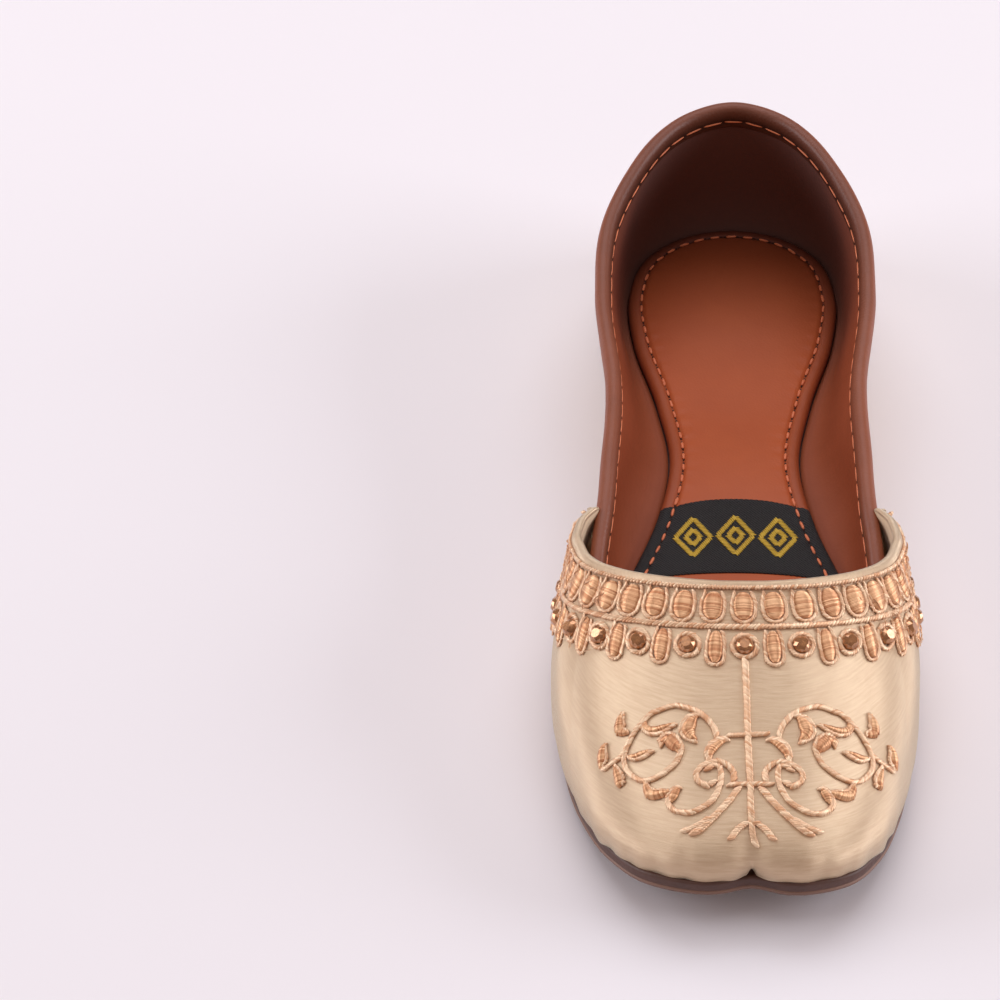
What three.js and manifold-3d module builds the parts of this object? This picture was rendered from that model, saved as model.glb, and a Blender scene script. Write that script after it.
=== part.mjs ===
// A mojari (also khussa or jutti): a flat slip-on shoe with a satin upper on a leather sole.
// Millimetres, +Z up. The toe points along -Y, the heel along +Y, and the sole stands on z = 0.
// Inside this file a place along the shoe is a station, measured from the front of the toe.
import * as THREE from 'three';
import { mergeVertices } from 'three/addons/utils/BufferGeometryUtils.js';
import Module from 'manifold-3d';

const wasm = await Module();
wasm.setup();

// ---- Driving dimensions -------------------------------------------------------------------

const SOLE_THICKNESS = 4;
const SOLE_CHAMFER = 0.7;      // along the lower edge of the sole
const TOE_SPRING = 10.8;       // lift of the sole's underside at the very toe
const SPRING_END = 62;         // station where the sole comes down to the floor
const ARCH_RISE = 1.4;         // lift of the waist between forefoot and heel
const ARCH_START = 108;
const ARCH_END = 172;
const NOTCH_DEPTH = 2.6;       // dimple between the two lobes of the toe
const NOTCH_WIDTH = 5;
const DIMPLE_HEIGHT = 0.5;     // share of the wall's height over which the dimple fades out
const TOE_DRIFT = 2.6;         // how far the toe's middle lies towards +X, the big toe's side
const SIDE_SWING = 2.2;        // how far both sides of the forepart lie back towards -X
const SWING_END = 130;         // station behind which the shoe is symmetric
const SWING_WIDTH = 40;

const WALL = 1.8;              // cloth, leather and lining of the upper, together
const GAP = 0.3;               // clearance between pieces that lie against each other
const SOCK_THICKNESS = 3;
const SOCK_ROUND = 1.4;        // rounded shoulder of the padded sock
const BINDING_LEATHER = 0.9;
const BINDING_DEPTH = 6.4;     // how far the binding reaches down each face of the quarters

// Right half of the sole's edge, from the toe round to the heel: distance from the axis, station.
const SOLE_OUTLINE = [
  { x: 0, s: 0 }, { x: 13, s: 0 }, { x: 23.3, s: 4.8 }, { x: 29.9, s: 13.8 }, { x: 35.7, s: 28.8 },
  { x: 39.8, s: 49 }, { x: 40.8, s: 71 }, { x: 39.4, s: 94 }, { x: 34.8, s: 117 },
  { x: 27.8, s: 138 }, { x: 25.2, s: 154 }, { x: 27.4, s: 180 }, { x: 31.2, s: 208 },
  { x: 28.2, s: 229.5 }, { x: 16, s: 244 }, { x: 0, s: 248 },
];

// Right half of the padded sock, from its hidden front end to the heel.
const SOCK_OUTLINE = [
  { x: 0, s: 24 }, { x: 18, s: 28 }, { x: 27, s: 44 }, { x: 30.6, s: 68 }, { x: 30, s: 88 },
  { x: 25.6, s: 106 }, { x: 19, s: 127 }, { x: 15.9, s: 147 }, { x: 19.2, s: 172 },
  { x: 25.3, s: 197 }, { x: 26.6, s: 214 }, { x: 22.5, s: 230 }, { x: 12.4, s: 239.4 },
  { x: 0, s: 242.4 },
];

// A rib is the curve that the wall follows from its foot on the sole up to its free edge.
// foot: distance from the axis and station.  top: the same, and height.
// swell, tilt: how strongly the wall leaves the sole, and how far it leans outwards, in degrees.
// reach, slope: how strongly it arrives at the edge, and how steeply, in degrees.
const VAMP_RIBS = [
  { footX: 0, footS: 1.6, topX: 0, topS: 65, topZ: 44, swell: 14, tilt: 5, reach: 40, slope: 24 },
  { footX: 12.6, footS: 1.6, topX: 7.5, topS: 65.4, topZ: 43.8, swell: 14, tilt: 5, reach: 39, slope: 24.5 },
  { footX: 22.2, footS: 6.1, topX: 15.5, topS: 67, topZ: 43.1, swell: 13, tilt: 6, reach: 36, slope: 28 },
  { footX: 29.2, footS: 14.5, topX: 23.2, topS: 69.6, topZ: 42, swell: 13, tilt: 9, reach: 31, slope: 33 },
  { footX: 35.1, footS: 29.2, topX: 30.2, topS: 73.6, topZ: 40.5, swell: 13, tilt: 13, reach: 25, slope: 43 },
  { footX: 39.2, footS: 49.4, topX: 34.8, topS: 78.6, topZ: 38.9, swell: 14, tilt: 17, reach: 18, slope: 57 },
  { footX: 40.2, footS: 71, topX: 36.9, topS: 84.6, topZ: 37.1, swell: 14, tilt: 17, reach: 13, slope: 74 },
  { footX: 38.6, footS: 93.6, topX: 37.8, topS: 91, topZ: 35.6, swell: 13, tilt: 11, reach: 11, slope: 87 },
  { footX: 35.9, footS: 107, topX: 36.8, topS: 98, topZ: 33.9, swell: 11, tilt: 12, reach: 10, slope: 92 },
  { footX: 32.1, footS: 119, topX: 35.8, topS: 105, topZ: 31.7, swell: 12, tilt: 14, reach: 8, slope: 94 },
];

const QUARTER_RIBS = [
  { footX: 33, footS: 84, topX: 34, topS: 82, topZ: 25, swell: 7, tilt: 12, reach: 7, slope: 88 },
  { footX: 31.8, footS: 98, topX: 33, topS: 94, topZ: 28.6, swell: 8, tilt: 12, reach: 8, slope: 88 },
  { footX: 31.4, footS: 112, topX: 31.7, topS: 107, topZ: 31.6, swell: 10, tilt: 12, reach: 9, slope: 89 },
  { footX: 30.2, footS: 124, topX: 31.1, topS: 120, topZ: 33.2, swell: 11, tilt: 15, reach: 9, slope: 89 },
  { footX: 23.6, footS: 152, topX: 30.5, topS: 147, topZ: 34.4, swell: 11, tilt: 30, reach: 10, slope: 88 },
  { footX: 25.8, footS: 180, topX: 33.5, topS: 177, topZ: 37.8, swell: 12, tilt: 26, reach: 13, slope: 91 },
  { footX: 29.6, footS: 208, topX: 31, topS: 204, topZ: 42.8, swell: 13, tilt: 18, reach: 15, slope: 87 },
  { footX: 26.8, footS: 228.5, topX: 21.6, topS: 226, topZ: 45.8, swell: 14, tilt: 12, reach: 16, slope: 79 },
  { footX: 15.2, footS: 242.4, topX: 11.5, topS: 237.4, topZ: 47, swell: 14, tilt: 12, reach: 16, slope: 77 },
  { footX: 0, footS: 246.4, topX: 0, topS: 241, topZ: 47.8, swell: 14, tilt: 12, reach: 16, slope: 76 },
];

// ---- Rows and curves ----------------------------------------------------------------------

const clamp = THREE.MathUtils.clamp;
const radians = THREE.MathUtils.degToRad;

// The row that would follow an end row: mirrored across the shoe's axis, or straight on.
function ghost(edge, next, mirrored) {
  const row = {};
  for (const key of Object.keys(edge)) {
    const sideways = key === 'x' || key.endsWith('X');
    if (key === 'at' || !mirrored) row[key] = 2 * edge[key] - next[key];
    else row[key] = sideways ? -next[key] : next[key];
  }
  return row;
}

// Gives each row its place from 0 to 1 along the foot line, and adds a ghost row at each end.
function prepared(rows, xKey, sKey, startMirrored, endMirrored) {
  let sum = 0;
  const run = rows.map((row, i) => {
    const back = rows[Math.max(i - 1, 0)];
    sum += Math.hypot(row[xKey] - back[xKey], row[sKey] - back[sKey]);
    return sum;
  });
  const placed = rows.map((row, i) => ({ ...row, at: run[i] / sum }));
  const first = ghost(placed[0], placed[1], startMirrored);
  const last = ghost(placed.at(-1), placed.at(-2), endMirrored);
  return [first, ...placed, last];
}

// Slope of a column at the middle one of three rows.
function slopeAt(key, before, here, after) {
  const back = (here[key] - before[key]) / (here.at - before.at);
  const on = (after[key] - here[key]) / (after.at - here.at);
  return (back * (after.at - here.at) + on * (here.at - before.at)) / (after.at - before.at);
}

// Smooth value of one column at a place between 0 and 1.
function column(rows, key, at) {
  let i = 1;
  while (i < rows.length - 3 && rows[i + 1].at < at) i += 1;
  const [a, b, c, d] = rows.slice(i - 1, i + 3);
  const width = c.at - b.at;
  const t = clamp((at - b.at) / width, 0, 1);
  const startSlope = width * slopeAt(key, a, b, c);
  const endSlope = width * slopeAt(key, b, c, d);
  const cube = t * t * t;
  const square = t * t;
  return (2 * cube - 3 * square + 1) * b[key] + (cube - 2 * square + t) * startSlope
    + (3 * square - 2 * cube) * c[key] + (cube - square) * endSlope;
}

// Unit direction in plan that points outwards from a curve followed from toe to heel.
function outward(rows, xKey, sKey, at) {
  const step = 0.002;
  const from = clamp(at - step, 0, 1);
  const to = clamp(at + step, 0, 1);
  const dx = column(rows, xKey, to) - column(rows, xKey, from);
  const ds = column(rows, sKey, to) - column(rows, sKey, from);
  return new THREE.Vector2(ds, -dx).normalize();
}

// ---- The sole's shape along the shoe --------------------------------------------------------

function soleUnder(s) {
  const spring = TOE_SPRING * (Math.max(SPRING_END - s, 0) / SPRING_END) ** 2;
  const along = clamp((s - ARCH_START) / (ARCH_END - ARCH_START), 0, 1);
  return spring + ARCH_RISE * Math.sin(Math.PI * along) ** 2;
}

const soleTop = (s) => soleUnder(s) + SOLE_THICKNESS;

// The forepart is a right shoe's: its middle drifts one way and its sides lie the other way.
function swing(x, s) {
  const ahead = Math.max(SWING_END - s, 0) / SWING_END;
  return TOE_DRIFT * ahead ** 2 - SIDE_SWING * ahead * (x / SWING_WIDTH) ** 2;
}

const notch = (x, s) => (s < SPRING_END ? NOTCH_DEPTH * Math.exp(-((x / NOTCH_WIDTH) ** 2)) : 0);

// A point of the shoe from its distance from the axis, its station and its height.
const place = (x, s, z) => new THREE.Vector3(x + swing(x, s), s, z);

// ---- Closed meshes from grids ---------------------------------------------------------------

// Triangles of a grid of quads, rows by columns, that closes on itself in neither direction.
function gridTriangles(columns, rows, index) {
  const triangles = [];
  for (let i = 0; i < columns; i += 1) {
    for (let j = 0; j < rows; j += 1) {
      const [a, b, c, d] = [index(i, j), index(i + 1, j), index(i + 1, j + 1), index(i, j + 1)];
      triangles.push(a, b, c, a, c, d);
    }
  }
  return triangles;
}

// One closed mesh with shared corners and no collapsed triangle.
function closedGeometry(points, triangles) {
  const loose = new THREE.BufferGeometry();
  loose.setAttribute('position', new THREE.Float32BufferAttribute(points.flatMap((p) => p.toArray()), 3));
  loose.setIndex(triangles);
  const merged = mergeVertices(loose, 1e-4);
  const index = merged.getIndex().array;
  const kept = [];
  for (let k = 0; k < index.length; k += 3) {
    const [a, b, c] = index.slice(k, k + 3);
    if (a !== b && b !== c && c !== a) kept.push(a, b, c);
  }
  merged.setIndex(kept);
  return merged;
}

// ---- Slabs: the sole and the padded sock ------------------------------------------------------

const SLAB_COLUMNS = 88;
const INNER_RINGS = [0.35, 0.7];   // shares of the way out, where a face is divided

// A slab with a curved outline: rings run from a spine under the axis, round the edge, to a spine
// on top. Each ring has its share of the way out, its inset from the outline and its height.
function slabGeometry(outline, spine, rings) {
  const rows = prepared(outline, 'x', 's', true, true);
  const points = [];
  for (let k = 0; k < SLAB_COLUMNS; k += 1) {
    const turn = (2 * k) / SLAB_COLUMNS;
    const side = turn <= 1 ? 1 : -1;
    const at = turn <= 1 ? turn : 2 - turn;
    const normal = outward(rows, 'x', 's', at);
    const x = column(rows, 'x', at);
    const edgeS = column(rows, 's', at);
    const s = edgeS + notch(x, edgeS);
    const middle = THREE.MathUtils.lerp(spine.start, spine.end, at);
    for (const ring of rings) {
      const ringX = Math.max((x - normal.x * ring.inset) * ring.out, 0);
      const ringS = THREE.MathUtils.lerp(middle, s - normal.y * ring.inset, ring.out);
      points.push(place(side * ringX, ringS, ring.height(ringS)));
    }
  }
  const index = (i, j) => (i % SLAB_COLUMNS) * rings.length + j;
  return closedGeometry(points, gridTriangles(SLAB_COLUMNS, rings.length - 1, index));
}

// The rings of a slab's face, from its spine outwards.
const faceRings = (height) => [0, ...INNER_RINGS].map((out) => ({ out, inset: 0, height }));

function outsoleGeometry() {
  return slabGeometry(SOLE_OUTLINE, { start: 16, end: 230 }, [
    ...faceRings(soleUnder),
    { out: 1, inset: SOLE_CHAMFER, height: soleUnder },
    { out: 1, inset: 0, height: (s) => soleUnder(s) + SOLE_CHAMFER },
    { out: 1, inset: 0, height: soleTop },
    ...faceRings(soleTop).reverse(),
  ]);
}

function sockGeometry() {
  const under = (s) => soleTop(s) + GAP;
  const top = (s) => under(s) + SOCK_THICKNESS;
  const bevel = SOCK_ROUND * (1 - Math.SQRT1_2);
  return slabGeometry(SOCK_OUTLINE, { start: 44, end: 222 }, [
    ...faceRings(under),
    { out: 1, inset: 0, height: under },
    { out: 1, inset: 0, height: (s) => top(s) - SOCK_ROUND },
    { out: 1, inset: bevel, height: (s) => top(s) - bevel },
    { out: 1, inset: SOCK_ROUND, height: top },
    ...faceRings(top).reverse(),
  ]);
}

// ---- The upper: vamp and quarters --------------------------------------------------------------

const STRIP_COLUMNS = 52;
const VAMP_ROWS = 10;
const QUARTER_ROWS = 8;
const CROWDING = 1.2;          // above 1 the columns crowd towards the strip's middle

const vampRows = prepared(VAMP_RIBS, 'footX', 'footS', true, false);
const quarterRows = prepared(QUARTER_RIBS, 'footX', 'footS', false, true);

// The vamp is followed from its left seam round the toe to its right seam, the quarters from the
// right wing round the heel to the left wing. A turn of -1 to 1 covers each.
const vampTurn = (turn) => ({ rows: vampRows, side: Math.sign(turn) || 1, at: Math.abs(turn) });
const quarterTurn = (turn) => ({ rows: quarterRows, side: -Math.sign(turn) || 1, at: 1 - Math.abs(turn) });

// Outer surface of the wall: up is 0 at the foot and 1 at the free edge.
function wallPoint({ rows, side, at }, up) {
  const read = (key) => column(rows, key, at);
  const footOut = outward(rows, 'footX', 'footS', at);
  const topOut = outward(rows, 'topX', 'topS', at);
  const tilt = radians(read('tilt'));
  const slope = radians(read('slope'));
  const swell = read('swell');
  const reach = read('reach');
  const dimple = notch(read('footX'), read('footS'));
  const foot = new THREE.Vector3(read('footX'), read('footS'), 0);
  foot.z = soleTop(foot.y + dimple) + GAP;
  const top = new THREE.Vector3(read('topX'), read('topS'), read('topZ'));
  const leave = new THREE.Vector3(footOut.x * Math.sin(tilt), footOut.y * Math.sin(tilt), Math.cos(tilt));
  const arrive = new THREE.Vector3(topOut.x * Math.cos(slope), topOut.y * Math.cos(slope), -Math.sin(slope));
  const curve = new THREE.CubicBezierCurve3(
    foot,
    foot.clone().addScaledVector(leave, swell),
    top.clone().addScaledVector(arrive, reach),
    top,
  );
  const point = curve.getPoint(up);
  const fade = Math.max(1 - up / DIMPLE_HEIGHT, 0) ** 2;
  return place(side * point.x, point.y + dimple * fade, point.z);
}

function wallNormal(turnOf, turn, up) {
  const step = 0.004;
  const from = wallPoint(turnOf(Math.max(turn - step, -1)), up);
  const to = wallPoint(turnOf(Math.min(turn + step, 1)), up);
  const below = wallPoint(turnOf(turn), Math.max(up - step, 0));
  const above = wallPoint(turnOf(turn), Math.min(up + step, 1));
  return to.sub(from).cross(above.sub(below)).normalize();
}

// One strip of the upper: an outer and an inner grid, joined along all four edges.
function stripGeometry(turnOf, rows) {
  const columns = STRIP_COLUMNS;
  const points = [];
  for (let i = 0; i <= columns; i += 1) {
    const share = (2 * i) / columns - 1;
    const turn = Math.sign(share) * Math.abs(share) ** CROWDING;
    for (let j = 0; j <= rows; j += 1) {
      const up = j / rows;
      const outer = wallPoint(turnOf(turn), up);
      const inner = outer.clone().addScaledVector(wallNormal(turnOf, turn, up), -WALL);
      if (j === 0) inner.z = Math.max(inner.z, outer.z);
      points.push(outer, inner);
    }
  }
  const outer = (i, j) => 2 * (i * (rows + 1) + j);
  const inner = (i, j) => outer(i, j) + 1;
  const triangles = [
    ...gridTriangles(columns, rows, outer),
    ...gridTriangles(columns, rows, inner).reverse(),
    ...gridTriangles(columns, 1, (i, j) => (j ? outer(i, 0) : inner(i, 0))),
    ...gridTriangles(columns, 1, (i, j) => (j ? inner(i, rows) : outer(i, rows))),
    ...gridTriangles(1, rows, (i, j) => (i ? outer(0, j) : inner(0, j))),
    ...gridTriangles(1, rows, (i, j) => (i ? inner(columns, j) : outer(columns, j))),
  ];
  return closedGeometry(points, triangles);
}

// ---- Solids -------------------------------------------------------------------------------------

function solidOf(geometry) {
  return new wasm.Manifold(new wasm.Mesh({
    numProp: 3,
    vertProperties: new Float32Array(geometry.getAttribute('position').array),
    triVerts: new Uint32Array(geometry.getIndex().array),
  }));
}

function geometryOf(solid) {
  const mesh = solid.getMesh();
  const geometry = new THREE.BufferGeometry();
  geometry.setAttribute('position', new THREE.BufferAttribute(mesh.vertProperties, 3));
  geometry.setIndex(new THREE.BufferAttribute(mesh.triVerts, 1));
  return geometry;
}

// The vamp lies over the quarters, and the wings of the quarters run on inside it.
function upperGeometry() {
  const vamp = solidOf(stripGeometry(vampTurn, VAMP_ROWS));
  const quarters = solidOf(stripGeometry(quarterTurn, QUARTER_ROWS));
  return geometryOf(vamp.add(quarters));
}

// ---- The leather binding of the collar ------------------------------------------------------------

const BINDING_COLUMNS = 60;
const BINDING_REACH = 0.985;   // share of the wings' edge that the binding covers
const FOLD_TURNS = [0, 45, 90, 135, 180];

// Height share on a rib that lies a given length below the free edge.
function upAtDepth(turnOf, turn, depth) {
  const step = 0.01;
  let up = 1;
  let sum = 0;
  let last = wallPoint(turnOf(turn), up);
  while (sum < depth) {
    up -= step;
    const next = wallPoint(turnOf(turn), up);
    sum += next.distanceTo(last);
    last = next;
  }
  return up;
}

// Cross-section of the folded strip, as points of depth below the edge and distance outwards
// from the middle of the wall. Negative depth is above the edge.
function bindingSection() {
  const inside = WALL / 2 + GAP;
  const outside = inside + BINDING_LEATHER;
  const fold = FOLD_TURNS.map((turn) => ({
    depth: -outside * Math.sin(radians(turn)),
    out: outside * Math.cos(radians(turn)),
  }));
  return [
    { depth: BINDING_DEPTH, out: outside },
    { depth: BINDING_DEPTH / 2, out: outside },
    ...fold,
    { depth: BINDING_DEPTH / 2, out: -outside },
    { depth: BINDING_DEPTH, out: -outside },
    { depth: BINDING_DEPTH, out: -inside },
    { depth: BINDING_DEPTH / 2, out: -inside },
    { depth: -GAP, out: -inside },
    { depth: -GAP, out: inside },
    { depth: BINDING_DEPTH / 2, out: inside },
    { depth: BINDING_DEPTH, out: inside },
  ];
}

function bindingPoint(turn, { depth, out }) {
  const up = upAtDepth(quarterTurn, turn, Math.max(depth, 0));
  const point = wallPoint(quarterTurn(turn), up);
  const normal = wallNormal(quarterTurn, turn, up);
  const rise = point.clone().sub(wallPoint(quarterTurn(turn), up - 0.02)).normalize();
  return point.addScaledVector(normal, out - WALL / 2).addScaledVector(rise, Math.max(-depth, 0));
}

function bindingGeometry() {
  const columns = BINDING_COLUMNS;
  const section = bindingSection();
  const points = [];
  for (let i = 0; i <= columns; i += 1) {
    const turn = BINDING_REACH * ((2 * i) / columns - 1);
    for (const corner of section) points.push(bindingPoint(turn, corner));
  }
  const index = (i, j) => i * section.length + (j % section.length);
  const triangles = gridTriangles(columns, section.length, index);
  const flat = section.map((corner) => new THREE.Vector2(corner.out, -corner.depth));
  for (const [a, b, c] of THREE.ShapeUtils.triangulateShape(flat, [])) {
    triangles.push(index(0, a), index(0, b), index(0, c));
    triangles.push(index(columns, a), index(columns, c), index(columns, b));
  }
  return closedGeometry(points, triangles);
}

// ---- The shoe ---------------------------------------------------------------------------------------

function piece(name, geometry, color, roughness, metalness = 0) {
  geometry.computeVertexNormals();
  const mesh = new THREE.Mesh(geometry, new THREE.MeshStandardMaterial({ color, roughness, metalness }));
  mesh.name = name;
  return mesh;
}

const shoe = new THREE.Group();
shoe.add(piece('outsole', outsoleGeometry(), 0x5f4641, 0.6));
shoe.add(piece('sock', sockGeometry(), 0x8c4b2d, 0.5));
shoe.add(piece('upper', upperGeometry(), 0xdec8a5, 0.45));
shoe.add(piece('collar_binding', bindingGeometry(), 0x965a46, 0.5));

// The origin is the middle of the footprint of the whole shoe.
const middle = new THREE.Box3().setFromObject(shoe).getCenter(new THREE.Vector3());
shoe.position.set(-middle.x, -middle.y, 0);

export default shoe;
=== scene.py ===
# %% [markdown]
# # A mojari shoe in champagne satin
# The CAD model gives four plain solids: outsole, sock, upper and collar binding. This lesson dresses
# them: each is made again with finer sections from the same table of sizes, then come the leather
# lining, the woven label, the crystals and the thread work. The frame is loaded first, so that
# every piece is made in its coordinates: the toe points to -Y, +Z is up and the floor is z = 0.

# %% Load the frame
import math
import bmesh
import bpy
import numpy as np
from mathutils import Matrix, Vector
from mathutils.bvhtree import BVHTree


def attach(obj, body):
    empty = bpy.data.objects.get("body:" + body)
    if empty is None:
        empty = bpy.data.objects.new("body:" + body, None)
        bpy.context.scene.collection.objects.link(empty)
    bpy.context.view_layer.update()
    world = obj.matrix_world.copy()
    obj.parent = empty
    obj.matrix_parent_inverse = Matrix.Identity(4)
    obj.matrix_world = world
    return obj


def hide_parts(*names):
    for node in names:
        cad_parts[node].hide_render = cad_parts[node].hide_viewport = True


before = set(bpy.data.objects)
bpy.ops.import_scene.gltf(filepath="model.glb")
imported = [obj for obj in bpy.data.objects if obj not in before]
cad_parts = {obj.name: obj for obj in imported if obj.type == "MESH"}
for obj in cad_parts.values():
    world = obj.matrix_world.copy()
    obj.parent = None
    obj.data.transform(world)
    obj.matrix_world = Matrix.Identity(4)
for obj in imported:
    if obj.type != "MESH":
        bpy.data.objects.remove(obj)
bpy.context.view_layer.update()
print("CAD nodes:", sorted(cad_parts))

# %% [markdown]
# ## Sizes
# A shoemaker works in millimetres, and so do the tables below. A place on the shoe is a distance
# from its long axis and a station, which is measured from the front of the toe towards the heel.
# The last step of each calculation turns this into metres in the frame.

# %% Sizes of the shoe
MM = 0.001
AXIS_X, TOE_FRONT = 0.577, -124.025   # where the axis and station 0 lie in the frame
SOLE_THICKNESS, SOCK_THICKNESS, WALL, GAP = 4.0, 3.0, 1.8, 0.3
TOE_SPRING, SPRING_END = 10.8, 62.0
ARCH_RISE, ARCH_START, ARCH_END = 1.4, 108.0, 172.0
NOTCH_DEPTH, NOTCH_WIDTH, DIMPLE_HEIGHT = 2.6, 5.0, 0.26
TOE_DRIFT, SIDE_SWING, SWING_END, SWING_WIDTH = 2.6, 2.2, 130.0, 40.0

OUTLINE_COLUMNS = ("X", "S")
SOLE_OUTLINE = [
    (0, 0), (13, 0), (23.3, 4.8), (29.9, 13.8), (35.7, 28.8), (39.8, 49), (40.8, 71), (39.4, 94),
    (34.8, 117), (27.8, 138), (25.2, 154), (27.4, 180), (31.2, 208), (28.2, 229.5), (16, 244), (0, 248)]
SOCK_OUTLINE = [
    (0, 24), (18, 28), (27, 44), (30.6, 68), (30, 88), (25.6, 106), (19, 127), (15.9, 147),
    (19.2, 172), (25.3, 197), (26.6, 214), (22.5, 230), (12.4, 239.4), (0, 242.4)]
RIB_COLUMNS = ("footX", "footS", "topX", "topS", "topZ", "swell", "tilt", "reach", "slope")
VAMP_RIBS = [
    (0, 1.6, 0, 65, 44, 14, 5, 40, 24), (12.6, 1.6, 7.5, 65.4, 43.8, 14, 5, 39, 24.5),
    (22.2, 6.1, 15.5, 67, 43.1, 13, 6, 36, 28), (29.2, 14.5, 23.2, 69.6, 42, 13, 9, 31, 33),
    (35.1, 29.2, 30.2, 73.6, 40.5, 13, 13, 25, 43), (39.2, 49.4, 34.8, 78.6, 38.9, 14, 17, 18, 57),
    (40.2, 71, 36.9, 84.6, 37.1, 14, 17, 13, 74), (38.6, 93.6, 37.8, 91, 35.6, 13, 11, 11, 87),
    (35.9, 107, 36.8, 98, 33.9, 11, 12, 10, 92), (32.1, 119, 35.8, 105, 31.7, 12, 14, 8, 94)]
QUARTER_RIBS = [
    (33, 84, 34, 82, 25, 7, 12, 7, 88), (31.8, 98, 33, 94, 28.6, 8, 12, 8, 88),
    (31.4, 112, 31.7, 107, 31.6, 10, 12, 9, 89), (30.2, 124, 31.1, 120, 33.2, 11, 15, 9, 89),
    (23.6, 152, 30.5, 147, 34.4, 11, 30, 10, 88), (25.8, 180, 33.5, 177, 37.8, 12, 26, 13, 91),
    (29.6, 208, 31, 204, 42.8, 13, 18, 15, 87), (26.8, 228.5, 21.6, 226, 45.8, 14, 12, 16, 79),
    (15.2, 242.4, 11.5, 237.4, 47, 14, 12, 16, 77), (0, 246.4, 0, 241, 47.8, 14, 12, 16, 76)]
print("ribs:", len(VAMP_RIBS), "in the vamp,", len(QUARTER_RIBS), "in the quarters")

# %% [markdown]
# ## Reading the tables smoothly
# Between two rows the sizes change along a smooth curve (a Hermite spline). Ghost rows continue each
# table, mirrored across the axis where the outline crosses it, so that toe and heel come out round.

# %% Smooth tables
class Table:
    """Rows of sizes, read at a share 0 to 1 of the way along the first two columns."""

    def __init__(self, names, rows, mirrored_start, mirrored_end):
        self.names = names
        rows = np.array(rows, float)
        steps = np.hypot(np.diff(rows[:, 0]), np.diff(rows[:, 1]))
        at = np.concatenate([[0], np.cumsum(steps)]) / steps.sum()
        flip = np.array([-1 if n.endswith("X") else 1 for n in names])
        first = flip * rows[1] if mirrored_start else 2 * rows[0] - rows[1]
        last = flip * rows[-2] if mirrored_end else 2 * rows[-1] - rows[-2]
        self.rows = np.vstack([first, rows, last])
        self.at = np.concatenate([[-at[1]], at, [2 - at[-2]]])

    def read(self, name, at):
        """One size at a share, on a Hermite spline through its column."""
        value, knot = self.rows[:, self.names.index(name)], self.at
        gap = np.diff(knot)
        rise = np.diff(value) / gap
        slope = (rise[:-1] * gap[1:] + rise[1:] * gap[:-1]) / (gap[:-1] + gap[1:])
        i = np.clip(np.searchsorted(knot, at, "left") - 1, 1, len(knot) - 3)
        width = knot[i + 1] - knot[i]
        t = np.clip((at - knot[i]) / width, 0, 1)
        return ((2 * t**3 - 3 * t**2 + 1) * value[i] + (t**3 - 2 * t**2 + t) * width * slope[i - 1]
                + (3 * t**2 - 2 * t**3) * value[i + 1] + (t**3 - t**2) * width * slope[i])

    def outward(self, x, s, at):
        """The direction straight out from the outline that two of the columns draw."""
        step = 0.002
        low, high = np.clip(at - step, 0, 1), np.clip(at + step, 0, 1)
        dx = self.read(x, high) - self.read(x, low)
        ds = self.read(s, high) - self.read(s, low)
        length = np.hypot(dx, ds)
        return ds / length, -dx / length


SOLE = Table(OUTLINE_COLUMNS, SOLE_OUTLINE, True, True)
SOCK = Table(OUTLINE_COLUMNS, SOCK_OUTLINE, True, True)
VAMP = Table(RIB_COLUMNS, VAMP_RIBS, True, False)
QUARTERS = Table(RIB_COLUMNS, QUARTER_RIBS, False, True)


# %% The sole's rise, the toe's dimple and the place of a point
def hill(value, width, centre=0.0):
    """A smooth hill, one unit high over its centre."""
    return np.exp(-(((value - centre) / width) ** 2))


def sole_under(s):
    """Height of the underside at a station: the toe springs up and the arch rises a little."""
    spring = TOE_SPRING * (np.maximum(SPRING_END - s, 0) / SPRING_END) ** 2
    along = np.clip((s - ARCH_START) / (ARCH_END - ARCH_START), 0, 1)
    return spring + ARCH_RISE * np.sin(np.pi * along) ** 2


def notch(x, s):
    """How far the outline is drawn in between the two lobes of the toe."""
    return np.where(s < SPRING_END, NOTCH_DEPTH * hill(x, NOTCH_WIDTH), 0)


def place(x, s, z):
    """A point of the frame, in metres. The forepart swings as on a right shoe."""
    ahead = np.maximum(SWING_END - s, 0) / SWING_END
    swing = TOE_DRIFT * ahead**2 - SIDE_SWING * ahead * (x / SWING_WIDTH) ** 2
    return np.stack(np.broadcast_arrays(x + swing + AXIS_X, s + TOE_FRONT, z), -1) * MM


def unit(v):
    return v / np.maximum(np.linalg.norm(v, axis=-1, keepdims=True), 1e-12)


def run_along(line):
    """The running length in millimetres at each point of a line."""
    return np.concatenate([[0], np.cumsum(np.linalg.norm(np.diff(line, axis=0), axis=-1))]) / MM


# %% [markdown]
# ## The wall
# Every rib of the wall is one Bezier curve from its foot on the sole to its free edge. A `turn` of
# -1 to 1 runs round the wall and `up` 0 to 1 climbs it, so a crease, a stitch or a petal can be
# given its place on the shoe before there is any mesh.

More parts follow.
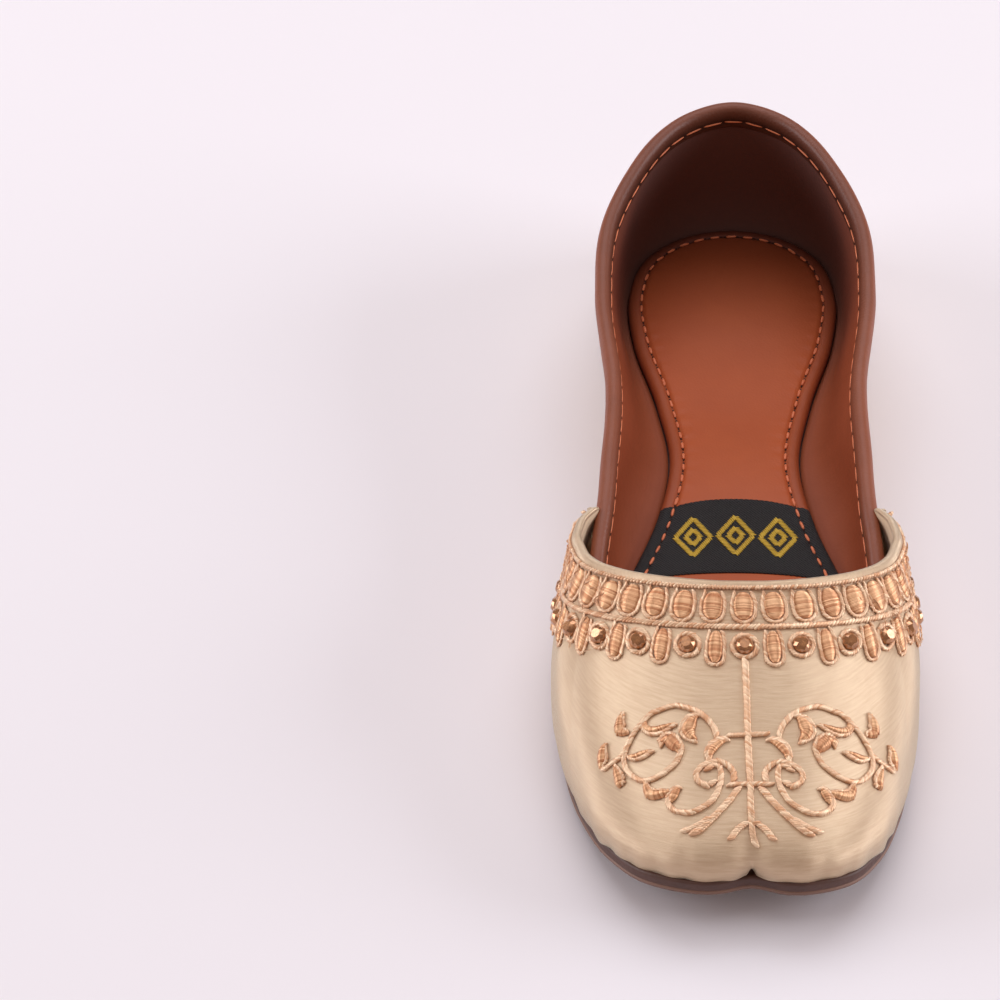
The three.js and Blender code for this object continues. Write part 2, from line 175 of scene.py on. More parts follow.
# %% Points of the wall
def wall_point(table, turn, up):
    """Points of the wall, in metres. The rib at each turn is a Bezier curve from foot to top."""
    turn, up = np.broadcast_arrays(np.asarray(turn, float), np.asarray(up, float))
    side = np.where(turn < 0, -1.0, 1.0)
    at = np.abs(turn)
    if table is QUARTERS:
        side, at = -side, 1 - at
    read = {name: table.read(name, at) for name in RIB_COLUMNS}
    foot_out, top_out = table.outward("footX", "footS", at), table.outward("topX", "topS", at)
    tilt, slope = np.radians(read["tilt"]), np.radians(read["slope"])
    dimple = notch(read["footX"], read["footS"])
    foot_z = sole_under(read["footS"] + dimple) + SOLE_THICKNESS + GAP
    foot = np.stack([read["footX"], read["footS"], foot_z], -1)
    top = np.stack([read["topX"], read["topS"], read["topZ"]], -1)
    leave = np.stack([foot_out[0] * np.sin(tilt), foot_out[1] * np.sin(tilt), np.cos(tilt)], -1)
    arrive = np.stack([top_out[0] * np.cos(slope), top_out[1] * np.cos(slope), -np.sin(slope)], -1)
    near, far = foot + leave * read["swell"][..., None], top + arrive * read["reach"][..., None]
    t = up[..., None]
    point = (1 - t)**3 * foot + 3 * t * (1 - t)**2 * near + 3 * t**2 * (1 - t) * far + t**3 * top
    fade = np.maximum(1 - up / DIMPLE_HEIGHT, 0) ** 2
    return place(side * point[..., 0], point[..., 1] + dimple * fade, point[..., 2])


def wall_frame(table, turn, up):
    """Point, unit tangent round the wall and unit normal outwards."""
    step = 0.003
    turn, up = np.broadcast_arrays(np.asarray(turn, float), np.asarray(up, float))
    low, high = np.maximum(turn - step, -1), np.minimum(turn + step, 1)
    round_wall = wall_point(table, high, up) - wall_point(table, low, up)
    climb = wall_point(table, turn, np.minimum(up + step, 1)) - wall_point(
        table, turn, np.maximum(up - step, 0))
    return wall_point(table, turn, up), unit(round_wall), unit(np.cross(round_wall, climb))


# %% Lengths along the ribs
class Ruler:
    """Distances in millimetres over a wall: depth below its free edge, and length round it."""

    def __init__(self, table, columns=601, rows=161):
        self.table = table
        self.turns, self.ups = np.linspace(-1, 1, columns), np.linspace(0, 1, rows)
        points = wall_point(table, self.turns[:, None], self.ups[None])
        steps = np.linalg.norm(np.diff(points, axis=1), axis=-1) / MM
        climbed = np.concatenate([np.zeros((columns, 1)), np.cumsum(steps, axis=1)], axis=1)
        self.height = climbed[:, -1]
        self.depth = self.height[:, None] - climbed

    def up(self, turn, depth):
        """The share of the rib's height that lies at a depth below the free edge."""
        turn, depth = np.broadcast_arrays(np.asarray(turn, float), np.asarray(depth, float))
        at = (turn + 1) / 2 * (len(self.turns) - 1)
        low = np.clip(at.astype(int), 0, len(self.turns) - 2)
        share = at - low
        found = [np.array([np.interp(-d, -self.depth[i], self.ups) for i, d in
                           zip((low + k).ravel(), depth.ravel())]).reshape(turn.shape) for k in (0, 1)]
        return found[0] * (1 - share) + found[1] * share

    def turn(self, length, depth):
        """The turn that lies a length away from the middle, round the wall at a depth."""
        ups = self.up(self.turns, np.full(len(self.turns), float(depth)))
        line = wall_point(self.table, self.turns, ups)
        run = run_along(line)
        run -= run[len(run) // 2]
        return np.interp(length, run, self.turns), run[-1]


vamp_ruler, quarter_ruler = Ruler(VAMP), Ruler(QUARTERS)
print("throat edge:", round(2 * vamp_ruler.turn(0, 0)[1]), "mm,",
      "collar:", round(2 * quarter_ruler.turn(0, 0)[1]), "mm")

# %% [markdown]
# ## Camera and light
# The camera stands in front of the toe, looks down on the shoe at about 41 degrees and uses a long
# lens, which keeps the toe from looming. Satin shows its shape by the bright bands that it mirrors.
# A sun or a small lamp would draw them as hard lines, so large soft lamps stand behind and at both
# sides, with a weak one above, and a dim, warm world fills the shadows.

# %% Camera
CAMERA_PLACE = (-16.512, -765.081, 693.572)     # millimetres in the frame
CAMERA_TURN, CAMERA_DROP, CAMERA_ROLL = -2.963, 41.472, -1.665
LENS, SENSOR = 152.90, 36.0


def linked(name, data):
    """A new object that carries the data, linked to the scene."""
    made = bpy.data.objects.new(name, data)
    bpy.context.scene.collection.objects.link(made)
    return made


def camera_axes(turn, drop, roll):
    """The camera's right, up and backward directions, from three angles in degrees."""
    a, e, r = map(math.radians, (turn, drop, roll))
    ahead = Vector((math.sin(a) * math.cos(e), math.cos(a) * math.cos(e), -math.sin(e)))
    right = Vector((math.cos(a), -math.sin(a), 0))
    above = right.cross(ahead)
    return (math.cos(r) * right + math.sin(r) * above, math.cos(r) * above - math.sin(r) * right, -ahead)


camera_data = bpy.data.cameras.new("camera")
camera_data.lens, camera_data.sensor_width = LENS, SENSOR
camera = linked("camera", camera_data)
axes = Matrix(camera_axes(CAMERA_TURN, CAMERA_DROP, CAMERA_ROLL)).transposed()
camera.matrix_world = Matrix.Translation(Vector(CAMERA_PLACE) * MM) @ axes.to_4x4()
bpy.context.scene.camera = camera
print("camera:", LENS, "mm lens,", round(Vector(CAMERA_PLACE).length), "mm from the shoe")


# %% Lamps and world
LAMP_COLOUR = (0.96, 1.0, 1.08)
LAMPS = {  # name: its place, the point it faces, width and height, all in metres, and its power in watts
    "lamp_back": ((0.0, 0.9, 1.5), (0, 0, 0), (1.8, 1.0), 11),
    "lamp_left": ((-1.4, 0.1, 0.55), (0, 0, 0.02), (1.0, 0.9), 11),
    "lamp_right": ((1.4, 0.05, 0.5), (0, 0, 0.02), (1.0, 0.9), 13.5),
    "lamp_top": ((0.0, 0.0, 1.6), (0, 0, 0), (1.4, 1.4), 4.6)}
WORLD_COLOUR, WORLD_STRENGTH = (1.0, 0.77, 0.66, 1.0), 0.32


def softbox(name, spot, target, size, power):
    data = bpy.data.lights.new(name, "AREA")
    data.shape, data.size, data.size_y = "RECTANGLE", size[0], size[1]
    data.energy, data.color = power, LAMP_COLOUR
    lamp = linked(name, data)
    lamp.location = spot
    lamp.rotation_euler = (Vector(target) - Vector(spot)).to_track_quat("-Z", "Y").to_euler()


for name, lamp_sizes in LAMPS.items():
    softbox(name, *lamp_sizes)
world = bpy.data.worlds.new("studio")
world.use_nodes = True
background = world.node_tree.nodes["Background"]
background.inputs["Color"].default_value = WORLD_COLOUR
background.inputs["Strength"].default_value = WORLD_STRENGTH
bpy.context.scene.world = world
bpy.context.scene.view_settings.view_transform = "Standard"
print("lamps:", ", ".join(LAMPS))

# %% [markdown]
# ## Shared effects for the finishes
# Three small shader groups carry what several finishes need: a cloudy change of tone, the grain of
# leather and the threads of a woven cloth. The same nodes could stand in every material, but then
# each change would have to be made many times. A group gives only a colour, a mask or a height, and
# every material keeps its own Principled shader, so its plain values stay readable by other programs.

# %% Helpers for node groups
def new_group(name, inputs, outputs, kind="ShaderNodeTree"):
    """An empty group with its sockets, and its two nodes for what goes in and what comes out."""
    tree = bpy.data.node_groups.new(name, kind)
    for label, socket_type, value in inputs:
        socket = tree.interface.new_socket(label, in_out="INPUT", socket_type=socket_type)
        if value is not None:
            socket.default_value = value
    for label, socket_type in outputs:
        tree.interface.new_socket(label, in_out="OUTPUT", socket_type=socket_type)
    return tree, tree.nodes.new("NodeGroupInput"), tree.nodes.new("NodeGroupOutput")


def node(tree, kind, inputs=(), **settings):
    """A node with its properties set and its inputs given as values or as sockets to link."""
    made = tree.nodes.new(kind)
    for key, value in settings.items():
        setattr(made, key, value)
    for key, value in dict(inputs).items():
        if isinstance(value, bpy.types.NodeSocket):
            tree.links.new(value, made.inputs[key])
        else:
            made.inputs[key].default_value = value
    return made


# %% Tone, grain and weave
VECTOR, FLOAT, COLOUR = "NodeSocketVector", "NodeSocketFloat", "NodeSocketColor"

tone_group, gin, gout = new_group(
    "cloudy_tone", [("Place", VECTOR, None), ("Size", FLOAT, 120.0), ("Dark", COLOUR, None),
                    ("Light", COLOUR, None)], [("Color", COLOUR)])
clouds = node(tone_group, "ShaderNodeTexNoise", {"Vector": gin.outputs["Place"],
              "Scale": gin.outputs["Size"], "Detail": 3.0, "Roughness": 0.6})
mixed = node(tone_group, "ShaderNodeMix", {0: clouds.outputs["Fac"], 6: gin.outputs["Dark"],
             7: gin.outputs["Light"]}, data_type="RGBA")
tone_group.links.new(mixed.outputs[2], gout.inputs["Color"])

grain_group, gin, gout = new_group(
    "leather_grain", [("Place", VECTOR, None), ("Size", FLOAT, 1400.0)], [("Height", FLOAT)])
cells = node(grain_group, "ShaderNodeTexVoronoi", {"Vector": gin.outputs["Place"],
             "Scale": gin.outputs["Size"]}, feature="F1")
pores = node(grain_group, "ShaderNodeTexNoise", {"Vector": gin.outputs["Place"],
             "Scale": gin.outputs["Size"], "Detail": 3.0})
height = node(grain_group, "ShaderNodeMath", {0: cells.outputs["Distance"],
              1: pores.outputs["Fac"]}, operation="ADD")
grain_group.links.new(height.outputs[0], gout.inputs["Height"])

weave_group, gin, gout = new_group(
    "woven_threads", [("Cloth", VECTOR, None), ("Across", FLOAT, 30.0), ("Along", FLOAT, 30.0),
                      ("Slubs", FLOAT, 0.5)], [("Height", FLOAT), ("Rib", FLOAT), ("Streak", FLOAT)])
stretch = node(weave_group, "ShaderNodeMapping", {"Vector": gin.outputs["Cloth"],
               "Scale": (1.3, 15.0, 1.0)})
slubs = node(weave_group, "ShaderNodeTexNoise", {"Vector": stretch.outputs[0], "Scale": 1.0,
             "Detail": 3.0, "Roughness": 0.7})
warp = node(weave_group, "ShaderNodeTexWave", {"Vector": gin.outputs["Cloth"],
            "Scale": gin.outputs["Across"], "Distortion": 0.6}, bands_direction="X")
weft = node(weave_group, "ShaderNodeTexWave", {"Vector": gin.outputs["Cloth"],
            "Scale": gin.outputs["Along"], "Distortion": 0.6}, bands_direction="Y")
threads = node(weave_group, "ShaderNodeMath", {0: warp.outputs["Fac"], 1: weft.outputs["Fac"]},
               operation="ADD")
weighed = node(weave_group, "ShaderNodeMath", {0: slubs.outputs["Fac"], 1: gin.outputs["Slubs"],
               2: threads.outputs[0]}, operation="MULTIPLY_ADD")
weave_group.links.new(weighed.outputs[0], gout.inputs["Height"])
weave_group.links.new(warp.outputs["Fac"], gout.inputs["Rib"])
streak = node(weave_group, "ShaderNodeMapRange", {"Value": slubs.outputs["Fac"], 1: 0.36, 2: 0.64})
weave_group.links.new(streak.outputs[0], gout.inputs["Streak"])
print("shader groups:", [g.name for g in (tone_group, grain_group, weave_group)])

# %% [markdown]
# ## Finishes
# One recipe makes every material: a colour that drifts between two near tones, a height for the
# bump, and plain values for roughness and gloss. Image textures could do the same, but these nodes
# need no files and stay sharp close up. Leather reads object coordinates. Cloth reads its own flat
# coordinates, in centimetres, so the threads follow the piece as it bends. An attribute of the mesh
# mixes in a third colour. `shade` is mostly painted shade: in the insole's groove, on its rounded
# rim and towards its heel, on the binding's flanges and inner side, and in the heel of the lining.
# On the satin it darkens the band of embroidery, where threads cover it, with painted shade towards
# the sides, and on the sole it lightens the lower part of the edge. `tone` changes from one stitch
# to the next.

# %% One recipe for all finishes
def linear(red, green, blue):
    """A colour of 0 to 255 as a screen shows it, turned into the linear light of a shader."""
    return tuple((c / 255 / 12.92) if c <= 10 else ((c / 255 + 0.055) / 1.055) ** 2.4
                 for c in (red, green, blue)) + (1.0,)


def finish(name, dark, light, cloud=150.0, grain=None, weave=None, bump=0.1, reach=0.0002,
           varied=None, rib_highlight=None, streaked=None, **shader):
    """A material. Grain is the size for leather, weave is threads across, along and their unevenness."""
    material = bpy.data.materials.new(name)
    material.use_nodes = True
    tree = material.node_tree
    skin = tree.nodes["Principled BSDF"]
    for key, value in shader.items():
        skin.inputs[key.replace("_", " ")].default_value = value
    where = node(tree, "ShaderNodeTexCoord")
    tone = node(tree, "ShaderNodeGroup", node_tree=tone_group)
    for key, value in (("Size", cloud), ("Dark", linear(*dark)), ("Light", linear(*light))):
        tone.inputs[key].default_value = value
    tree.links.new(where.outputs["Object"], tone.inputs["Place"])
    colour = tone.outputs["Color"]
    if varied:          # an attribute of the mesh mixes in another colour
        attribute = node(tree, "ShaderNodeAttribute", attribute_name=varied[0])
        colour = node(tree, "ShaderNodeMix", {0: attribute.outputs["Fac"], 6: colour,
                      7: linear(*varied[1])}, data_type="RGBA").outputs[2]
    tree.links.new(colour, skin.inputs["Base Color"])
    if grain:
        relief = node(tree, "ShaderNodeGroup", node_tree=grain_group)
        relief.inputs["Size"].default_value = grain
        tree.links.new(where.outputs["Object"], relief.inputs["Place"])
    else:
        relief = node(tree, "ShaderNodeGroup", node_tree=weave_group)
        cloth = node(tree, "ShaderNodeUVMap", uv_map="cloth")
        for key, value in zip(("Across", "Along", "Slubs"), weave):
            relief.inputs[key].default_value = value
        tree.links.new(cloth.outputs["UV"], relief.inputs["Cloth"])
    for mask, shade in (("Rib", rib_highlight), ("Streak", streaked)):      # a painted highlight on the tops of ribs, and lighter thick threads
        if shade:
            colour = node(tree, "ShaderNodeMix", {0: relief.outputs[mask], 6: colour, 7: linear(*shade)},
                          data_type="RGBA").outputs[2]
            tree.links.new(colour, skin.inputs["Base Color"])
    bumps = node(tree, "ShaderNodeBump", {"Height": relief.outputs["Height"], "Strength": bump,
                 "Distance": reach})
    tree.links.new(bumps.outputs["Normal"], skin.inputs["Normal"])
    return material


# %% The finishes of this shoe
# On the satin, `shade` mixes in the darker tone of the band of embroidery, with painted shade towards its
# sides.
satin = finish("champagne_satin", (203, 173, 141), (217, 188, 156), cloud=70, weave=(14, 19, 4.5),
               bump=0.28, reach=0.00025, Roughness=0.34, Metallic=0.5, Sheen_Weight=1.0,
               Sheen_Roughness=0.3, Sheen_Tint=(1.0, 0.98, 0.84, 1.0), varied=("shade", (186, 134, 96)),
               streaked=(220, 194, 162))
cream_lining = finish("cream_lining", (230, 202, 166), (242, 218, 184), cloud=90, weave=(18, 18, 1.5),
                      bump=0.2, Roughness=0.6, Sheen_Weight=0.2)
# On the lining, `shade` is painted shade in the heel.
lining_leather = finish("lining_leather", (150, 76, 46), (168, 87, 55), cloud=70, grain=1300, bump=0.16,
                        Roughness=0.6, Specular_IOR_Level=0.3, varied=("shade", (102, 76, 72)))
# On the insole, `shade` is painted shade: under the pad, on its rim, in the seam's groove and at the heel.
sock_leather = finish("insole_leather", (186, 87, 42), (204, 101, 50), cloud=60, grain=1500, bump=0.16,
                      Roughness=0.48, Specular_IOR_Level=0.35, varied=("shade", (92, 46, 34)))
# On the binding, `shade` is painted shade down the flanges, in the stitch groove, on the inner side and at
# the heel.
binding_leather = finish("binding_leather", (126, 64, 38), (146, 78, 50), cloud=110, grain=1500, bump=0.3,
                         Roughness=0.5, Coat_Weight=0.05, Coat_Roughness=0.4,
                         varied=("shade", (62, 30, 19)))
sole_leather = finish("sole_leather", (70, 43, 34), (92, 58, 46), cloud=220, grain=900, bump=0.3,
                      Roughness=0.5, varied=("shade", (140, 106, 90)))
# The lighter grey laid on the tops of the twill's ribs is a painted highlight.
label_cloth = finish("label_twill", (11, 14, 17), (17, 20, 24), cloud=400, weave=(3.9, 30, 0.2),
                     bump=1.0, reach=0.0004, Roughness=0.7, Sheen_Weight=0.1, rib_highlight=(70, 74, 78))
label_gold = finish("label_gold", (216, 178, 52), (240, 208, 84), cloud=900, weave=(12, 12, 0.5),
                    bump=0.4, Roughness=0.5, Metallic=0.2)
thread = finish("rose_gold_thread", (208, 148, 106), (230, 178, 134), cloud=500, grain=2500, bump=0.12,
                Roughness=0.3, Metallic=0.4, Sheen_Weight=0.3, varied=("tone", (252, 220, 184)))
fill_thread = finish("fill_thread", (184, 116, 74), (206, 142, 98), cloud=500, grain=2500, bump=0.1,
                     Roughness=0.28, Metallic=0.6, Sheen_Weight=0.2, varied=("tone", (246, 198, 152)))
# The core is darker than the thread over it, so it shows at both sides of a cord as a painted shaded edge.
core_thread = finish("core_thread", (168, 112, 84), (188, 132, 102), cloud=500, grain=2500, bump=0.15,
                     Roughness=0.55)
orange_thread = finish("orange_thread", (234, 124, 78), (246, 150, 106), cloud=500, grain=2500, bump=0.2,
                       Roughness=0.5)
# Needle holes are not cut: a small dark shape at each end of a stitch paints the shade inside the hole.
needle_hole = finish("needle_hole", (60, 27, 17), (68, 32, 20), cloud=500, grain=1500, Roughness=0.8)
crystal = finish("crystal", (104, 60, 38), (238, 172, 116), cloud=800, grain=200, bump=0.0, Roughness=0.08,
                 Metallic=0.7, Coat_Weight=1.0)
floor_paint = finish("studio_floor", (242, 237, 241), (244, 239, 243), cloud=3, grain=30, bump=0.0,
                     Roughness=0.9, Specular_IOR_Level=0.1)
print("finishes of the upper:", [f.name for f in (satin, cream_lining, lining_leather, binding_leather)])

# %% [markdown]
# ## Meshes from grids
# Sole, sock, wall and binding are all grids of points, so one helper turns a grid into a closed
# mesh. A coarse cage under Subdivision Surface could give the same soft shapes, but a crease or a
# stitch couldn't be put at a measured place on it. The helper checks the enclosed volume and turns
# the faces round if they look inwards. The floor is one plain face; it isn't part of the shoe.

# %% Mesh helpers
MERGE_WITHIN, SHORT_EDGE = 1e-7, 1e-8      # metres: points that count as one, edges with no length


def grid_faces(columns, rows, wrap_columns=False, wrap_rows=False):
    """Four-sided faces between the points of a grid, closed round either way if asked."""
    i = np.arange(columns if wrap_columns else columns - 1)[:, None]
    j = np.arange(rows if wrap_rows else rows - 1)[None]
    i2, j2 = (i + 1) % columns, (j + 1) % rows
    quads = [i * rows + j, i2 * rows + j, i2 * rows + j2, i * rows + j2]
    return np.stack(np.broadcast_arrays(*quads), -1).reshape(-1, 4)


def capped_faces(columns, count):
    """Faces of a loop of points that is carried along a path, with a cap over each end."""
    j = np.arange(count // 2 - 1)
    cap = np.stack([j, j + 1, count - 2 - j, count - 1 - j], -1)
    return np.vstack([grid_faces(columns, count, wrap_rows=True), cap, cap[:, ::-1] + (columns - 1) * count])


def inside_out(points, faces):
    """Whether the faces look inwards: the volume that they enclose then comes out negative."""
    a, b, c, d = (points[faces[:, k]] for k in range(4))
    return np.sum(a * np.cross(b, c) + a * np.cross(c, d)) < 0


def make_piece(name, points, faces, materials, cloth=None, shade=None, face_material=None,
               replaces=()):
    """A piece from points and four-sided faces, with its seams and poles closed."""
    points = np.asarray(points, float).reshape(-1, 3)
    if inside_out(points - points.mean(0), faces):
        faces = faces[:, ::-1]
    mesh = bpy.data.meshes.new(name)
    mesh.from_pydata(points.tolist(), [], faces.tolist())
    for material in materials:
        mesh.materials.append(material)
    if face_material is not None:
        mesh.polygons.foreach_set("material_index", np.asarray(face_material, np.int32))
    if cloth is not None:
        corners = np.array([loop.vertex_index for loop in mesh.loops])
        layer = mesh.uv_layers.new(name="cloth")
        layer.data.foreach_set("uv", np.asarray(cloth, np.float32).reshape(-1, 2)[corners].ravel())
    if shade is not None:
        layer = mesh.attributes.new("shade", "FLOAT", "POINT")
        layer.data.foreach_set("value", np.asarray(shade, np.float32).ravel())
    closing = bmesh.new()
    closing.from_mesh(mesh)
    bmesh.ops.remove_doubles(closing, verts=closing.verts, dist=MERGE_WITHIN)
    bmesh.ops.dissolve_degenerate(closing, edges=closing.edges, dist=SHORT_EDGE)
    closing.to_mesh(mesh)
    closing.free()
    mesh.shade_smooth()
    piece = linked(name, mesh)
    declare(piece, replaces)
    print(f"{name}: {len(mesh.vertices)} points, {len(mesh.polygons)} faces")
    return piece


def declare(piece, replaces=()):
    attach(piece, "root")
    if replaces:
        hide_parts(*replaces)


# %% Floor
FLOOR_HALF = 3.0        # metres
floor_mesh = bpy.data.meshes.new("floor")
floor_mesh.from_pydata([(x * FLOOR_HALF, y * FLOOR_HALF, 0) for x, y in ((-1, -1), (1, -1), (1, 1), (-1, 1))],
                       [], [(0, 1, 2, 3)])
floor_mesh.materials.append(floor_paint)
floor = linked("floor", floor_mesh)
print("floor:", 2 * FLOOR_HALF, "m wide")

# %% [markdown]
# ## Outsole
# The sole of a mojari is one flat layer of leather, cut to the outline, with its edge burnished by
# rubbing. An extruded outline with a Bevel would do for the plain slab. It is made as rings that run
# from a spine under the axis, round the edge, to a spine on top, so the round lower edge and the
# pressed line along it are only a few more rings.

# %% Rings round an outline
REAR_START, REAR_LENGTH = 178.0, 56.0     # where the heel's painted shade begins, and how far it takes to fill


def slab(table, spine, rings, columns=300):
    """Points (columns, rings, 3), with the inset of each from the outline. A ring is a pair
    (inset in mm or share to the spine, height function)."""
    turn = np.arange(columns) * 2 / columns
    side, at = np.where(turn <= 1, 1.0, -1.0), np.where(turn <= 1, turn, 2 - turn)
    normal = table.outward("X", "S", at)
    x, s = table.read("X", at), table.read("S", at)
    s = s + notch(x, s)
    middle = spine[0] + (spine[1] - spine[0]) * at
    reach = np.hypot(x, s - middle)
    points, insets = [], []
    for inset, share, height in rings:
        edge_x, edge_s = x - normal[0] * inset, s - normal[1] * inset
        ring_x, ring_s = np.maximum(edge_x * (1 - share), 0), edge_s + (middle - edge_s) * share
        points.append((side * ring_x, ring_s, height))
        insets.append(inset + share * reach)
    run = np.concatenate([[0], np.cumsum(np.hypot(np.diff(side * x), np.diff(s)))])
    return points, np.array(insets), run


def slab_piece(name, table, spine, rings, material, node_name, shade, rear_shade=0.0):
    """A closed piece from rings, one shade value for each ring, and painted shade towards the heel."""
    points, insets, run = slab(table, spine, rings)
    solid = np.stack([place(x, s, height(s, insets[k], run)) for k, (x, s, height) in
                      enumerate(points)], 1)
    columns, rows = solid.shape[:2]
    faces = grid_faces(columns, rows, wrap_columns=True)
    stations = np.stack([s for x, s, height in points], 1)
    rear = rear_shade * np.clip((stations - REAR_START) / REAR_LENGTH, 0, 1) ** 1.3
    tint = np.clip(np.array(shade) + rear, 0, 1)
    return make_piece(name, solid, faces, [material], shade=tint, replaces=[node_name])


# %% Outsole
SOLE_SPINE = (16, 230)                    # stations of its two ends
INWARD = (0.33, 0.66, 1.0)                # shares of the way to the spine
EDGE_RINGS = [  # inset, height above the underside, lightness of the edge
    (0.7, 0.0, 0.25), (0.3, 0.12, 0.35), (0.05, 0.45, 0.5), (0.0, 0.9, 0.75), (0.12, 1.15, 1.0),
    (0.3, 1.35, 0.3), (0.12, 1.6, 0.0), (0.0, 2.0, 0.0), (0.0, 3.2, 0.0), (0.15, 3.75, 0.0), (0.6, 4.0, 0.0)]


def above_floor(rise):
    """The height of a ring that keeps a distance above the sole's underside."""
    return lambda s, inset, run: sole_under(s) + rise


sole_rings = [(EDGE_RINGS[0][0], q, above_floor(0.0)) for q in INWARD[::-1]]
sole_rings += [(inset, 0.0, above_floor(rise)) for inset, rise, light in EDGE_RINGS]
sole_rings += [(EDGE_RINGS[-1][0], q, above_floor(SOLE_THICKNESS)) for q in INWARD]
sole_shade = [0.2] * len(INWARD) + [light for inset, rise, light in EDGE_RINGS] + [0.0] * len(INWARD)
slab_piece("outsole_leather", SOLE, SOLE_SPINE, sole_rings, sole_leather, "outsole",
           sole_shade)

# %% [markdown]
# ## Insole
# The insole, or sock, is a thin pad under leather. A row of stitches pulls the leather down in a
# groove, which leaves small puckers beside it, and the middle stays a little crowned. A bump map
# could draw the groove, but then the stitches wouldn't lie in it. So the pad is made like the sole,
# with real relief that is worked out from the distance to the edge.

# %% Insole
SOCK_SPINE = (44, 222)
SOCK_STITCH_INSET = 3.4
SOCK_BASE = [(0.6, 1.0, 0.0), (0.6, 0.5, 0.0), (0.5, 0.0, 0.0), (0.05, 0.0, 0.4)]   # inset, share, height
SOCK_SHOULDER = [  # inset, height against the flat top, painted shade
    (0.0, -1.5, 0.7), (0.1, -0.95, 0.6), (0.35, -0.5, 0.5), (0.8, -0.17, 0.42), (1.4, 0.0, 0.36)]
SOCK_SEAM = [  # inset, painted shade in the groove and beside it
    (2.2, 0.3), (2.7, 0.28), (3.05, 0.32), (3.25, 0.42), (3.4, 0.42), (3.55, 0.3), (3.8, 0.16),
    (4.2, 0.06), (4.7, 0.0), (5.3, 0.0), (6.0, 0.0), (6.9, 0.0), (7.9, 0.0)]
SOCK_MIDDLE = (0.15, 0.3, 0.5, 0.75, 1.0)     # shares of the way to the spine
GROOVE_DEPTH, GROOVE_WIDTH = 0.42, 0.6
CROWN_HEIGHT, CROWN_WIDTH = 0.5, 7
PUCKER_PITCH = 4.6


def sock_relief(inset, run):
    """What the seam does to the leather: a groove, a crowned middle and small puckers beside it."""
    groove = -GROOVE_DEPTH * hill(inset, GROOVE_WIDTH, SOCK_STITCH_INSET)
    crown = CROWN_HEIGHT * (1 - hill(inset, CROWN_WIDTH))
    wave = np.sin(2 * np.pi * run / PUCKER_PITCH + 1.6 * np.sin(run / 13) + 0.9 * np.sin(run / 5.3))
    inner = 0.2 * hill(inset, 1.5, 5.0)
    rim = 0.12 * hill(inset, 0.8, 1.5)
    return groove + crown + wave * (inner + rim)


def sock_top(rise):
    """The height of a ring on top of the pad, with the seam's relief."""
    def height(s, inset, run):
        flat = sole_under(s) + SOLE_THICKNESS + GAP + SOCK_THICKNESS
        return flat + rise + sock_relief(inset, run)
    return height


sock_rings = [(inset, q, above_floor(SOLE_THICKNESS + GAP + rise)) for inset, q, rise in SOCK_BASE]
sock_rings += [(inset, 0.0, sock_top(rise)) for inset, rise, dark in SOCK_SHOULDER]
sock_rings += [(inset, 0.0, sock_top(0.0)) for inset, dark in SOCK_SEAM]
sock_rings += [(SOCK_SEAM[-1][0], q, sock_top(0.0)) for q in SOCK_MIDDLE]
# Painted shade: full under the pad, less on its rounded rim, a little in the seam's groove.
sock_shade = [1.0] * len(SOCK_BASE) + [dark for inset, rise, dark in SOCK_SHOULDER]
sock_shade += [dark for inset, dark in SOCK_SEAM] + [0.0] * len(SOCK_MIDDLE)
insole = slab_piece("insole_leather", SOCK, SOCK_SPINE, sock_rings, sock_leather, "sock",
                    sock_shade, rear_shade=0.6)

# %% [markdown]
# ## The upper
# Vamp and quarters are sheets of satin over a lining. Each is one closed shell: outer face, turned
# edge, inner face. Solidify could thicken a single sheet, but then the hem and the thin ends of the
# wings would need work of their own. Creases are listed one by one, as soft troughs at a measured
# place along the foot line: where the cloth is drawn over the edge of the sole it gathers in small
# puckers, and at the toe the two lobes meet in one deep fold.

# %% Shells
EDGE_STEPS = 6          # points round the turned edge
THIN_ENDS = 0.02        # share of the wall over which its ends run out
THINNEST = 0.02         # and where that thinning stops
TRIM_START, TRIM_LENGTH = 0.965, 0.035      # turns where the free edge drops at the ends


def hang(run, height):
    """The satin's lower edge is turned over the edge of the sole, in small uneven scallops."""
    scallop = 0.45 + 0.3 * np.sin(run / 2.3 + 1.2 * np.sin(run / 7)) + 0.2 * np.sin(run / 1.1)
    return scallop * np.clip(1 - height / 1.3, 0, 1)


def pucker_field(run, height, puckers):
    """Soft troughs. Each has its place along the foot line, half width, depth and reach, in mm."""
    total = np.zeros_like(height)
    for centre, width, deep, reach in puckers:
        q = (run - centre) / width
        total -= deep * (hill(q, 1) - 0.5 * hill(q, 2)) * np.exp(-((height / reach) ** 1.5))
    return total


